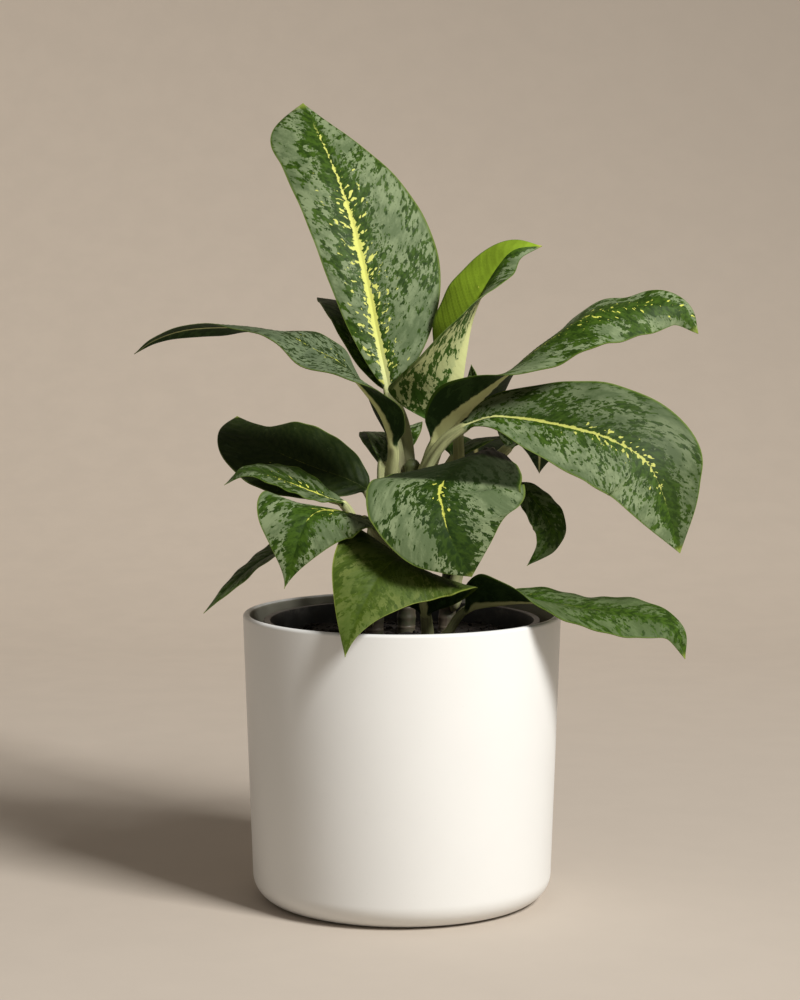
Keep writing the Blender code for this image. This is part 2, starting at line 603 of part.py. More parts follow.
def leafRing(leaf, t):
    # section as (across, rise) points: upper side from left to right, lower side back again
    columns = len(BLADE_COLUMNS) - 1
    count = 2 * columns + 1
    if t < 0:
        radius = STALK_NECK_RADIUS + (STALK_FOOT_RADIUS - STALK_NECK_RADIUS) * -t
    else:
        radius = STALK_NECK_RADIUS
    angles = [math.pi - math.pi * (i + 0.5) / count for i in range(count)]
    circle = [(radius * math.cos(a), radius * math.sin(a)) for a in angles]
    circle += [(radius * math.cos(a), -radius * math.sin(a)) for a in reversed(angles)]
    if t <= 0:
        return circle
    height, waves, start = leaf["wave"]
    sides = []
    for side, folds in enumerate((leaf["foldLeft"], leaf["foldRight"])):
        sign = 2 * side - 1
        width = bladeWidth(t, leaf["peak"][side], leaf["taper"][side])
        reach = max(leaf["half"][side] * width, LEAST_HALF)
        section = halfSection(reach, blend3(folds, t), leaf["curl"][side])
        wave = height * width * math.sin(2 * math.pi * (waves * t + start + WAVE_SHIFT * side))
        lean = sign * min(reach / NARROW_HALF, 1.0)
        sides.append([(sign * a, r + wave * c * c, lean * d) for (a, r, d), c in zip(section, BLADE_COLUMNS)])
    middle = list(reversed(sides[0][1:])) + sides[1]
    ridge = RIDGE_HEIGHT * (1 - t) ** RIDGE_FADE
    # the thickness is laid off square to the blade
    offsets = [(-BLADE_THICKNESS / 2 * math.sin(d), BLADE_THICKNESS / 2 * math.cos(d)) for a, r, d in middle]
    top = [(a + x, r + y) for (a, r, d), (x, y) in zip(middle, offsets)]
    under = [(a - x, r - y) for (a, r, d), (x, y) in zip(middle, offsets)]
    under[columns] = (under[columns][0], under[columns][1] - ridge)
    flat = top + list(reversed(under))
    share = min(t / NECK_SHARE, 1.0)
    share = share * share * (3 - 2 * share)
    return [(c[0] + (f[0] - c[0]) * share, c[1] + (f[1] - c[1]) * share) for c, f in zip(circle, flat)]


def makeLeaf(name, leaf, collection):
    work = bmesh.new()
    rings = []
    for t, centre, along, up in leafFrames(leaf):
        across = along.cross(up)
        rings.append([work.verts.new((centre + across * a + up * r) * MM) for a, r in leafRing(leaf, t)])
    count = len(rings[0])
    half = count // 2
    for low, high in zip(rings, rings[1:]):
        for i in range(count):
            j = (i + 1) % count
            # the diagonal lies alike on the upper and the lower side
            if i < half:
                work.faces.new((low[i], high[i], high[j]))
                work.faces.new((low[i], high[j], low[j]))
            else:
                work.faces.new((low[i], high[i], low[j]))
                work.faces.new((high[i], high[j], low[j]))
    for ring, order in ((rings[0], 1), (rings[-1], -1)):
        middle = work.verts.new(sum((v.co for v in ring), Vector()) / count)
        for i in range(count):
            corner = (ring[i], ring[(i + 1) % count], middle)
            work.faces.new(corner[::order])
    bmesh.ops.recalc_face_normals(work, faces=work.faces)
    mesh = bpy.data.meshes.new(name)
    work.to_mesh(mesh)
    work.free()
    item = addObject(name, mesh, collection, "silver_leaf")
    smoothShade(mesh, SMOOTH_ANGLE)
    return item


def main():
    clearScene()
    plant = makeCollection(OBJECT_NAME)
    cutters = makeCollection("cutters")
    makePot(plant)
    makeNurseryPot(plant, cutters)
    soil = makeSoil(plant)
    for name in CANES:
        makeCane(name, plant)
        centre, radius = canePlace(name, SOIL_TOP)
        plantHole(soil, name, centre, radius + CANE_HOLE_MARGIN, cutters)
    for name, leaf in LEAVES.items():
        makeLeaf(name, leaf, plant)
        if leaf["foot"][0] == "soil":
            plantHole(soil, name, leaf["foot"][1], STALK_FOOT_RADIUS, cutters)


main()
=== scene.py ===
import math
import random

import bpy
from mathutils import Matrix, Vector, noise


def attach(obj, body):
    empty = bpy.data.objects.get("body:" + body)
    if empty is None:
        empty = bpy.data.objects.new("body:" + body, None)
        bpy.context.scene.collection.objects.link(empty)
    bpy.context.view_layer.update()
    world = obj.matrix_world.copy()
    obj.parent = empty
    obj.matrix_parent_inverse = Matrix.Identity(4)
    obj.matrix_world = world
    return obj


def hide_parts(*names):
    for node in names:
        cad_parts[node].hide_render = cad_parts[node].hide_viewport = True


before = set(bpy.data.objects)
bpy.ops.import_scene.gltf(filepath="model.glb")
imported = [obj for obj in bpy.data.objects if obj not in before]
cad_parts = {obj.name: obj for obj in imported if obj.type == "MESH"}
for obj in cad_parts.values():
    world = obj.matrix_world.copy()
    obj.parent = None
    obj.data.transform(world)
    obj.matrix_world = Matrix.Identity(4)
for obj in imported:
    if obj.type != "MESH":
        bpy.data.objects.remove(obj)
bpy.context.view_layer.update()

mm = 0.001
print("frame loaded")


# Shader wiring: a Wire is a socket that can be used in sums, a Finish is a material being made

class Wire:
    def __init__(self, finish, socket):
        self.finish = finish
        self.socket = socket

    def sum(self, operation, first, second=0.0):
        return self.finish.node("ShaderNodeMath", {"operation": operation}, {0: first, 1: second})

    def __add__(self, other):
        return self.sum("ADD", self, other)

    def __radd__(self, other):
        return self.sum("ADD", other, self)

    def __sub__(self, other):
        return self.sum("SUBTRACT", self, other)

    def __rsub__(self, other):
        return self.sum("SUBTRACT", other, self)

    def __mul__(self, other):
        return self.sum("MULTIPLY", self, other)

    def __rmul__(self, other):
        return self.sum("MULTIPLY", other, self)

    def __truediv__(self, other):
        return self.sum("DIVIDE", self, other)

    def __pow__(self, other):
        return self.sum("POWER", self, other)

    def __gt__(self, other):
        return self.sum("GREATER_THAN", self, other)

    def __abs__(self):
        return self.sum("ABSOLUTE", self)

    def sine(self):
        return self.sum("SINE", self)

    def step(self, low, high):
        # 0 below low, 1 above high, smooth between, also for high under low
        settings = {"interpolation_type": "SMOOTHSTEP"}
        return self.finish.node("ShaderNodeMapRange", settings, {0: self, 1: low, 2: high})


class Finish:
    def __init__(self, name, roughness=0.5):
        self.material = bpy.data.materials.new(name)
        self.material.use_nodes = True
        self.tree = self.material.node_tree
        self.shader = self.tree.nodes["Principled BSDF"]
        self.set("Roughness", roughness)

    def node(self, kind, settings, sockets, output=0):
        made = self.tree.nodes.new(kind)
        for name, value in settings.items():
            if name == "stops":
                self.stops(made.color_ramp, value)
            else:
                setattr(made, name, value)
        for key, value in sockets.items():
            self.join(value, made.inputs[key])
        return Wire(self, made.outputs[output])

    def stops(self, ramp, stops):
        while len(ramp.elements) < len(stops):
            ramp.elements.new(0.5)
        for element, (position, colour) in zip(ramp.elements, stops):
            element.position = position
            element.color = (*colour, 1.0)

    def join(self, value, socket):
        if isinstance(value, Wire):
            self.tree.links.new(value.socket, socket)
        elif socket.type == "RGBA":
            socket.default_value = (*value[:3], 1.0)
        else:
            socket.default_value = value

    def set(self, name, value):
        self.join(value, self.shader.inputs[name])

    def place(self):
        # the point on the object, in millimetres
        point = self.node("ShaderNodeTexCoord", {}, {}, "Object")
        return self.node("ShaderNodeVectorMath", {"operation": "SCALE"}, {0: point, 3: 1 / mm})

    def attribute(self, name):
        return self.node("ShaderNodeAttribute", {"attribute_name": name}, {}, "Vector")

    def split(self, vector):
        return [self.node("ShaderNodeSeparateXYZ", {}, {0: vector}, i) for i in range(3)]

    def vector(self, x, y, z):
        return self.node("ShaderNodeCombineXYZ", {}, {0: x, 1: y, 2: z})

    def noise(self, vector, scale, detail=2.0, roughness=0.5, distortion=0.0):
        sockets = {"Vector": vector, "Scale": scale, "Detail": detail, "Roughness": roughness,
                   "Distortion": distortion}
        return self.node("ShaderNodeTexNoise", {}, sockets, "Fac")

    def mix(self, share, first, second):
        return self.node("ShaderNodeMix", {"data_type": "RGBA"}, {0: share, 6: first, 7: second}, 2)

    def bump(self, height, depth, strength=1.0):
        normal = self.node("ShaderNodeBump", {}, {"Height": height, "Distance": depth, "Strength": strength})
        self.set("Normal", normal)


# Small helpers for pieces

def deselectAll():
    for item in bpy.context.selected_objects:
        item.select_set(False)


def newest(name):
    item = bpy.context.object
    item.name = name
    item.data.name = name
    return item


def settle(item):
    # the object's place goes into its mesh
    deselectAll()
    item.select_set(True)
    bpy.context.view_layer.objects.active = item
    bpy.ops.object.transform_apply(location=True, rotation=True, scale=True)


def applyAll(item):
    deselectAll()
    item.select_set(True)
    bpy.context.view_layer.objects.active = item
    for modifier in list(item.modifiers):
        bpy.ops.object.modifier_apply(modifier=modifier.name)


def smooth(item, degrees):
    deselectAll()
    item.select_set(True)
    bpy.context.view_layer.objects.active = item
    bpy.ops.object.shade_smooth_by_angle(angle=math.radians(degrees))


def choose(item, kind, wanted):
    # in edit mode: selects the vertices, edges or faces for which wanted(part) holds
    bpy.ops.mesh.select_mode(type=kind)
    bpy.ops.mesh.select_all(action="DESELECT")
    bpy.ops.object.mode_set(mode="OBJECT")
    parts = {"VERT": item.data.vertices, "EDGE": item.data.edges, "FACE": item.data.polygons}[kind]
    for part in parts:
        part.select = wanted(part)
    bpy.ops.object.mode_set(mode="EDIT")


def finishPiece(item, material, *nodes):
    item.data.materials.clear()
    item.data.materials.append(material)
    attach(item, "root")
    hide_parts(*nodes)


# Camera, floor and light

view = {
    "lens": 90.0, "place": (-0.0009, -1.1707, 0.2987), "down": 5.35,
    "floorColour": (0.585, 0.512, 0.435), "wallColour": (0.76, 0.655, 0.545), "wallShade": 0.60, "floorShade": 0.76,
    "floorFront": -3.0, "floorBack": 0.75, "bend": 1.1, "height": 3.2,
    "skyColour": (1.0, 0.94, 0.86), "sky": 0.185,
    "keyPlace": (1.25, -1.25, 1.7), "keyAim": (-0.5, 0.2, 0.15), "keySize": 0.65, "keyPower": 73.0,
    "keyColour": (1.0, 0.99, 0.965),
}


def makeCamera():
    bpy.ops.object.camera_add(location=view["place"], rotation=(math.radians(90 - view["down"]), 0, 0))
    camera = bpy.context.object
    camera.data.lens = view["lens"]
    camera.data.sensor_width = 36.0
    camera.data.clip_start = 0.01
    bpy.context.scene.camera = camera
    bpy.context.scene.view_settings.view_transform = "Standard"


def makeFloor():
    # a paper sheet that bends up behind the pot
    front = view["floorFront"]
    back = view["floorBack"]
    deselectAll()
    bpy.ops.mesh.primitive_plane_add(size=1.0)
    floor = newest("floor")
    floor.scale = (8.0, back - front, 1.0)
    floor.location = (0.0, (front + back) / 2, 0.0)
    settle(floor)
    bpy.ops.object.mode_set(mode="EDIT")
    steps = 12
    for i in range(steps):
        choose(floor, "EDGE", lambda e: all(floor.data.vertices[v].co.y > back + view["bend"] * math.sin(
            math.radians(90 * i / steps)) - 0.001 for v in e.vertices))
        low = math.radians(90 * i / steps)
        high = math.radians(90 * (i + 1) / steps)
        forward = view["bend"] * (math.sin(high) - math.sin(low))
        rise = view["bend"] * (math.cos(low) - math.cos(high))
        bpy.ops.mesh.extrude_edges_move(TRANSFORM_OT_translate={"value": (0.0, forward, rise)})
    bpy.ops.mesh.extrude_edges_move(TRANSFORM_OT_translate={"value": (0.0, 0.0, view["height"])})
    bpy.ops.object.mode_set(mode="OBJECT")
    smooth(floor, 30)
    paper = Finish("paper", 0.9)
    place = paper.place()
    x, y, z = paper.split(place)
    # painted shade: the paper is painted darker to the right, and up the wall, standing in for the light falling off
    # across the backdrop
    floorShadeColour = tuple(c * view["floorShade"] for c in view["floorColour"])
    wallShadeColour = tuple(c * view["wallShade"] for c in view["wallColour"])
    floorShaded = paper.mix(x.step(-700.0, 900.0), view["floorColour"], floorShadeColour)
    wallShaded = paper.mix((x * 0.5 + z * 0.7).step(-250.0, 850.0), view["wallColour"], wallShadeColour)
    colour = paper.mix(y.step(0.0, 1100.0), floorShaded, wallShaded)
    grain = paper.noise(place, 0.03, 4.0, 0.6)
    paper.set("Base Color", paper.mix(grain.step(0.3, 0.7) * 0.06, colour, tuple(c * 0.6 for c in view["floorColour"])))
    floor.data.materials.append(paper.material)


def makeLight():
    world = bpy.data.worlds.new("studio")
    bpy.context.scene.world = world
    world.use_nodes = True
    sky = world.node_tree.nodes["Background"]
    sky.inputs["Color"].default_value = (*view["skyColour"], 1.0)
    sky.inputs["Strength"].default_value = view["sky"]
    place = Vector(view["keyPlace"])
    turn = (Vector(view["keyAim"]) - place).to_track_quat("-Z", "Y").to_euler()
    bpy.ops.object.light_add(type="AREA", location=place, rotation=turn)
    key = bpy.context.object
    key.data.size = view["keySize"]
    key.data.energy = view["keyPower"]
    key.data.color = view["keyColour"]


makeCamera()
makeFloor()
makeLight()
print("camera, floor and light made")


# Ceramic cover pot: a cylinder, narrowed at the foot, hollowed and rounded

pot = {
    "height": 136.0, "rimRadius": 75.0, "footRadius": 70.4, "wall": 3.4, "floor": 5.0,
    "footRound": 12.0, "innerRound": 8.0, "sides": 144,
    # the inside colour is painted shade for the inner wall
    "glaze": (0.80, 0.798, 0.775), "inside": (0.30, 0.29, 0.23), "roughness": 0.38, "shine": 0.36,
}


def ceramicGlaze():
    glaze = Finish("ceramicGlaze", pot["roughness"])
    glaze.set("Specular IOR Level", pot["shine"])
    place = glaze.place()
    x, y, z = glaze.split(place)
    cloud = glaze.noise(place, 0.02, 3.0, 0.55)
    fine = glaze.noise(place, 0.9, 3.0, 0.6)
    outer = glaze.mix(cloud, tuple(c * 0.96 for c in pot["glaze"]), tuple(c * 1.03 for c in pot["glaze"]))
    outer = glaze.mix(fine.step(0.66, 0.74) * 0.25, outer, tuple(c * 0.82 for c in pot["glaze"]))
    # painted shade: the inside wall, above the floor, is painted darker, standing in for the shade inside the pot; it
    # is also rougher
    radius = (x * x + y * y) ** 0.5
    flare = (pot["rimRadius"] - pot["footRadius"]) / pot["height"]
    wallRadius = z * flare + (pot["footRadius"] - 0.9 * pot["wall"])
    inside = (wallRadius - radius).step(-0.1, 0.2) * z.step(pot["floor"] - 1.0, pot["floor"])
    glaze.set("Base Color", glaze.mix(inside, outer, pot["inside"]))
    glaze.set("Roughness", cloud * 0.10 + pot["roughness"] - 0.05 + inside * 0.2)
    glaze.bump(cloud * 0.9 + fine * 0.05, 0.25 * mm, 0.5)
    return glaze.material


def makePot():
    deselectAll()
    bpy.ops.mesh.primitive_cylinder_add(vertices=pot["sides"], radius=pot["rimRadius"] * mm,
                                        depth=pot["height"] * mm, location=(0, 0, pot["height"] * mm / 2))
    item = newest("ceramicPot")
    settle(item)
    top = pot["height"] * mm
    bpy.ops.object.mode_set(mode="EDIT")
    # taper towards the foot
    choose(item, "FACE", lambda f: f.normal.z < -0.9)
    narrow = pot["footRadius"] / pot["rimRadius"]
    bpy.ops.transform.resize(value=(narrow, narrow, 1.0), center_override=(0, 0, 0))
    # hollow with an even wall
    choose(item, "FACE", lambda f: f.normal.z > 0.9)
    bpy.ops.mesh.inset(thickness=pot["wall"] * mm)
    depth = (pot["height"] - pot["floor"]) * mm
    bpy.ops.mesh.extrude_region_move(TRANSFORM_OT_translate={"value": (0, 0, -depth)})
    inner = pot["footRadius"] + (pot["rimRadius"] - pot["footRadius"]) * pot["floor"] / pot["height"] - pot["wall"]
    squeeze = inner / (pot["rimRadius"] - pot["wall"])
    bpy.ops.transform.resize(value=(squeeze, squeeze, 1.0), center_override=(0, 0, 0))

    def ring(low, high, near, far):
        def inRing(edge):
            for v in edge.vertices:
                co = item.data.vertices[v].co
                if not (low < co.z < high and near < co.xy.length < far):
                    return False
            a, b = (item.data.vertices[v].co for v in edge.vertices)
            return abs(a.xy.length - b.xy.length) < 1e-5
        return inRing

    # rounded inner floor corner, lip and foot
    choose(item, "EDGE", ring(pot["floor"] * mm - 0.001, pot["floor"] * mm + 0.001, 0.01, 0.1))
    bpy.ops.mesh.bevel(offset=pot["innerRound"] * mm, segments=6)
    choose(item, "EDGE", ring(top - 0.0005, top + 0.0005, 0.01, 0.1))
    bpy.ops.mesh.bevel(offset=0.46 * pot["wall"] * mm, segments=5)
    choose(item, "EDGE", ring(-0.001, 0.001, 0.01, 0.1))
    bpy.ops.mesh.bevel(offset=pot["footRound"] * mm, segments=12)
    bpy.ops.object.mode_set(mode="OBJECT")
    smooth(item, 40)
    finishPiece(item, ceramicGlaze(), "pot")


makePot()
print("ceramic pot made")


# Nursery pot: thin dark plastic with a lip and drain holes

nursery = {
    "bottom": 5.3, "top": 132.8, "rimRadius": 65.2, "footRadius": 50.0, "wall": 1.4,
    "lipHeight": 6.0, "lipOut": 1.6, "sides": 96, "drains": 6, "drainRadius": 4.0, "drainCircle": 36.0,
    # the pale colour below is dust, and at the lip also a painted highlight on the rim
    "plastic": (0.028, 0.028, 0.026), "dustAndRimHighlight": (0.16, 0.15, 0.13),
}


def nurseryPlastic():
    plastic = Finish("nurseryPlastic", 0.45)
    place = plastic.place()
    x, y, z = plastic.split(place)
    dusty = plastic.noise(place, 0.12, 4.0, 0.65)
    # paler patches all over are dust; the extra paleness towards the lip is a painted highlight on the rim
    edge = z.step(nursery["top"] - 5.0, nursery["top"])
    dustAndRimHighlight = dusty.step(0.45, 0.75) * (0.25 + edge * 0.6)
    plastic.set("Base Color", plastic.mix(dustAndRimHighlight, nursery["plastic"], nursery["dustAndRimHighlight"]))
    plastic.set("Roughness", dustAndRimHighlight * 0.3 + 0.42)
    plastic.bump(plastic.noise(place, 1.6, 2.0), 0.08 * mm, 0.6)
    return plastic.material


def makeNurseryPot():
    n = nursery
    deselectAll()
    height = (n["top"] - n["bottom"]) * mm
    bpy.ops.mesh.primitive_cylinder_add(vertices=n["sides"], radius=n["footRadius"] * mm, depth=height,
                                        location=(0, 0, n["bottom"] * mm + height / 2))
    item = newest("nurseryPot")
    settle(item)
    wallTop = n["rimRadius"] - n["lipOut"]
    bpy.ops.object.mode_set(mode="EDIT")
    # the wall up to the lip, the lip's step and its outer face
    choose(item, "FACE", lambda f: f.normal.z > 0.9)
    bpy.ops.transform.translate(value=(0, 0, -n["lipHeight"] * mm))
    grow = wallTop / n["footRadius"]
    bpy.ops.transform.resize(value=(grow, grow, 1.0), center_override=(0, 0, 0))
    bpy.ops.mesh.extrude_region_move(TRANSFORM_OT_translate={"value": (0, 0, 0)})
    grow = n["rimRadius"] / wallTop
    bpy.ops.transform.resize(value=(grow, grow, 1.0), center_override=(0, 0, 0))
    bpy.ops.mesh.extrude_region_move(TRANSFORM_OT_translate={"value": (0, 0, n["lipHeight"] * mm)})
    bpy.ops.mesh.inset(thickness=(n["lipOut"] + n["wall"]) * mm)
    bpy.ops.mesh.extrude_region_move(TRANSFORM_OT_translate={"value": (0, 0, -n["lipHeight"] * mm)})
    bpy.ops.mesh.extrude_region_move(TRANSFORM_OT_translate={"value": (0, 0, -height + (n["lipHeight"] + n["wall"]) * mm)})
    shrink = (n["footRadius"] - n["wall"]) / (wallTop - n["wall"])
    bpy.ops.transform.resize(value=(shrink, shrink, 1.0), center_override=(0, 0, 0))
    bpy.ops.object.mode_set(mode="OBJECT")
    for i in range(n["drains"]):
        angle = 2 * math.pi * i / n["drains"]
        place = (n["drainCircle"] * mm * math.cos(angle), n["drainCircle"] * mm * math.sin(angle), n["bottom"] * mm)
        deselectAll()
        bpy.ops.mesh.primitive_cylinder_add(vertices=24, radius=n["drainRadius"] * mm, depth=6 * mm, location=place)
        drain = bpy.context.object
        cut = item.modifiers.new("drain", "BOOLEAN")
        cut.operation = "DIFFERENCE"
        cut.object = drain
        applyAll(item)
        bpy.data.objects.remove(drain, do_unlink=True)
    rounding = item.modifiers.new("rounding", "BEVEL")
    rounding.width = 0.45 * mm
    rounding.segments = 3
    rounding.angle_limit = math.radians(50)
    applyAll(item)
    smooth(item, 40)
    finishPiece(item, nurseryPlastic(), "nursery_pot")


makeNurseryPot()
print("nursery pot made")


# Potting soil: a lumpy top with crumbs and bits of bark on it

soil = {
    "top": 123.5, "mound": 2.0, "crumb": 1.3, "radius": 60.9, "bottom": 7.0, "footRadius": 48.3, "rings": 44,
    "sides": 128, "crumbs": 420, "seed": 11,
    "dark": (0.006, 0.0045, 0.0035), "brown": (0.022, 0.014, 0.009), "bark": (0.06, 0.036, 0.022),
}


def pottingMix():
    mix = Finish("pottingMix", 0.95)
    place = mix.place()
    lumps = mix.noise(place, 0.35, 6.0, 0.65)
    specks = mix.noise(place, 1.1, 3.0, 0.6)
    colour = mix.mix(lumps.step(0.35, 0.68), soil["dark"], soil["brown"])
    colour = mix.mix(specks.step(0.62, 0.72) * 0.7, colour, soil["bark"])
    mix.set("Base Color", colour)
    mix.bump(lumps + specks * 0.4, 0.9 * mm, 0.9)
    return mix.material


def soilHeight(x, y):
    reach = math.hypot(x, y) / (nursery["rimRadius"] - nursery["lipOut"])
    mound = soil["mound"] * (1.0 - reach * reach)
    coarse = noise.noise(Vector((x, y, 0.0)) * 0.11)
    fine = noise.noise(Vector((x, y, 0.0)) * 0.27)
    crumbs = noise.noise(Vector((x, y, 4.0)) * 0.6) + 0.5 * noise.noise(Vector((x, y, 8.0)) * 1.1)
    return soil["top"] + mound + soil["crumb"] * (coarse + fine / 2) + 0.45 * crumbs


def makeSoil():
    deselectAll()
    bpy.ops.mesh.primitive_circle_add(vertices=soil["sides"], radius=soil["radius"] * mm, fill_type="NGON",
                                      location=(0, 0, (soil["top"] - 1.5) * mm))
    item = newest("pottingSoil")
    settle(item)
    bpy.ops.object.mode_set(mode="EDIT")
    bpy.ops.mesh.select_all(action="SELECT")
    bpy.ops.mesh.normals_make_consistent(inside=False)
    # the wall and the bottom
    choose(item, "FACE", lambda f: True)
    bpy.ops.mesh.extrude_region_move(TRANSFORM_OT_translate={"value": (0, 0, (soil["bottom"] - soil["top"] + 1.5) * mm)})
    shrink = soil["footRadius"] / soil["radius"]
    bpy.ops.transform.resize(value=(shrink, shrink, 1.0), center_override=(0, 0, 0))
    bpy.ops.object.mode_set(mode="OBJECT")
    top = (soil["top"] - 2.0) * mm
    if not any(f.center.z > top and abs(f.normal.z) > 0.9 for f in item.data.polygons):
        deselectAll()
        item.select_set(True)
        bpy.ops.object.mode_set(mode="EDIT")
        choose(item, "EDGE", lambda e: all(item.data.vertices[v].co.z > top for v in e.vertices))
        bpy.ops.mesh.edge_face_add()
        bpy.ops.object.mode_set(mode="OBJECT")
    bpy.ops.object.mode_set(mode="EDIT")
    choose(item, "FACE", lambda f: f.center.z > top and abs(f.normal.z) > 0.9)
    for i in range(soil["rings"]):
        bpy.ops.mesh.inset(thickness=soil["radius"] * mm / (soil["rings"] + 1))
    bpy.ops.mesh.select_all(action="SELECT")
    bpy.ops.mesh.normals_make_consistent(inside=False)
    bpy.ops.object.mode_set(mode="OBJECT")
    for vertex in item.data.vertices:
        x, y, z = vertex.co / mm
        if z > soil["top"] - 2.0 and math.hypot(x, y) < soil["radius"] - 0.5:
            vertex.co.z = soilHeight(x, y) * mm
    smooth(item, 60)
    finishPiece(item, pottingMix(), "soil")


def makeCrumbs():
    # one lump, copied all over the top and joined
    draw = random.Random(soil["seed"])
    deselectAll()
    bpy.ops.mesh.primitive_ico_sphere_add(subdivisions=1, radius=1.0)
    lump = bpy.context.object
    copies = []
    for i in range(soil["crumbs"]):
        reach = (soil["radius"] - 2.5) * math.sqrt(draw.random())
        angle = draw.uniform(0, 2 * math.pi)
        x = reach * math.cos(angle)
        y = reach * math.sin(angle)
        size = draw.uniform(0.5, 1.0) ** 2 * 2.1
        crumb = lump.copy()
        crumb.data = lump.data.copy()
        bpy.context.collection.objects.link(crumb)
        for vertex in crumb.data.vertices:
            vertex.co *= draw.uniform(0.75, 1.2)
        crumb.scale = (size * mm, size * draw.uniform(0.5, 1.0) * mm, size * draw.uniform(0.4, 0.8) * mm)
        crumb.rotation_euler = (draw.uniform(-0.5, 0.5), draw.uniform(-0.5, 0.5), draw.uniform(0, 6.3))
        crumb.location = (x * mm, y * mm, (soilHeight(x, y) + 0.15 * size) * mm)
        copies.append(crumb)
    bpy.data.objects.remove(lump, do_unlink=True)
    deselectAll()
    for crumb in copies:
        crumb.select_set(True)
    bpy.context.view_layer.objects.active = copies[0]
    bpy.ops.object.join()
    item = newest("soilCrumbs")
    settle(item)
    smooth(item, 50)
    finishPiece(item, pottingMix(), "soil")


makeSoil()
makeCrumbs()
print("soil made")


# Canes: rings drawn up along a bent line, with a leaf scar at every second one

canes = {
    "cane_main": {"line": [(2, 6, 101.5), (2, 6, 126), (3, 6, 165), (5, 7, 208)], "radius": (4.6, 3.4)},
    "cane_left": {"line": [(-13, -3, 101.5), (-13, -3, 126), (-13, -3, 150), (-12, -2, 172)], "radius": (4.8, 3.6)},
    "cane_right": {"line": [(21, 6, 101.5), (21, 6, 126), (23, 6, 155), (26, 6, 186)], "radius": (4.4, 3.4)},
}
caneShape = {
    "pitch": 9.0, "swell": 0.35, "scarWidth": 0.5, "sides": 32, "stepLength": 0.75,
    "green": (0.055, 0.060, 0.030), "tan": (0.11, 0.085, 0.060), "scar": (0.15, 0.12, 0.085), "purple": (0.045, 0.025, 0.028),
    "fresh": (0.12, 0.145, 0.055),
}


def caneSkin():
    skin = Finish("caneSkin", 0.5)
    place = skin.place()
    x, y, z = skin.split(place)
    streak = skin.noise(skin.vector(x * 0.5, y * 0.5, z * 0.06), 1.0, 4.0, 0.6)
    patch = skin.noise(place, 0.09, 3.0, 0.6)
    ring = ((z / caneShape["pitch"]) * (2 * math.pi)).sine().step(0.86, 0.98)
    colour = skin.mix(patch.step(0.38, 0.62), caneShape["green"], caneShape["tan"])
    colour = skin.mix(streak.step(0.55, 0.70) * 0.6, colour, caneShape["purple"])
    colour = skin.mix(z.step(140.0, 185.0), colour, caneShape["fresh"])
    colour = skin.mix(ring * 0.6, colour, caneShape["scar"])
    skin.set("Base Color", colour)
    skin.bump(streak * 0.5 + ring, 0.25 * mm, 0.6)
    return skin.material


def canePlace(name, height):
    # centre and radius of a cane at a height
    cane = canes[name]
    line = [Vector(p) for p in cane["line"]]
    share = (height - line[0].z) / (line[-1].z - line[0].z)
    radius = cane["radius"][0] + (cane["radius"][1] - cane["radius"][0]) * share
    for low, high in zip(line, line[1:]):
        if height <= high.z or high is line[-1]:
            return low.lerp(high, (height - low.z) / (high.z - low.z)), radius


def scarSwell(height):
    # how far the cane stands out at a leaf scar
    away = (height - caneShape["pitch"] / 4) % caneShape["pitch"] - caneShape["pitch"] / 2
    return caneShape["swell"] * math.exp(-(away / caneShape["scarWidth"] / 2) ** 2)


def makeCane(name, skin):
    line = canes[name]["line"]
    bottom = line[0][2]
    top = line[-1][2]
    steps = round((top - bottom) / caneShape["stepLength"])
    deselectAll()
    centre, radius = canePlace(name, bottom)
    bpy.ops.mesh.primitive_circle_add(vertices=caneShape["sides"], radius=radius * mm, fill_type="NGON",
                                      location=centre * mm)
    item = newest(name + "Skin")
    settle(item)
    bpy.ops.object.mode_set(mode="EDIT")
    bpy.ops.mesh.select_all(action="SELECT")
    last = centre
    lastRadius = radius
    for i in range(steps):
        height = bottom + (top - bottom) * (i + 1) / steps
        centre, radius = canePlace(name, height)
        radius += scarSwell(height)
        left = top - height
        if left < 3.0:
            radius *= math.sqrt(max(0.06, 1 - (1 - left / 3.0) ** 2))
        bpy.ops.mesh.extrude_region_move(TRANSFORM_OT_translate={"value": (centre - last) * mm})
        grow = radius / lastRadius
        bpy.ops.transform.resize(value=(grow, grow, 1.0), center_override=centre * mm)
        last = centre
        lastRadius = radius
    bpy.ops.mesh.select_all(action="SELECT")
    bpy.ops.mesh.normals_make_consistent(inside=False)
    bpy.ops.object.mode_set(mode="OBJECT")
    smooth(item, 60)
    finishPiece(item, skin, name)


bark = caneSkin()
for name in canes:
    makeCane(name, bark)
print("canes made")


# Leaves: a grid is rolled into a stalk that opens into a blade, ring by ring along a bent line

blade = {
    "thickness": 0.8, "margin": 0.34, "halfColumns": 18, "stations": 84, "stalkStations": 26,
    "leastHalf": 0.12, "footRadius": 3.0, "neckRadius": 2.4, "neckShare": 0.05, "lean": 4.0,
    "baseRounding": 0.72, "tipRounding": 2.2, "waveShift": 0.37,
    "ridge": 1.5, "ridgeFade": 1.3, "ridgeWidth": 1.7, "groove": 0.45, "grooveWidth": 1.3,
    "quilt": 0.16, "veinPitch": 5.2, "veinLean": 0.75, "veinBend": 0.012,
    "splineSteps": 24, "spineReach": 2.5, "clearance": 0.3, "stalkRises": (0.0, 9.0, 18.0),
    "soilDepth": 22.0,
}


def splinePoint(p0, p1, p2, p3, t):
    # Catmull-Rom point between p1 and p2
    a = 2 * p1
    b = p2 - p0
    c = 2 * p0 - 5 * p1 + 4 * p2 - p3
    d = -p0 + 3 * p1 - 3 * p2 + p3
    return (a + b * t + c * t * t + d * t ** 3) / 2


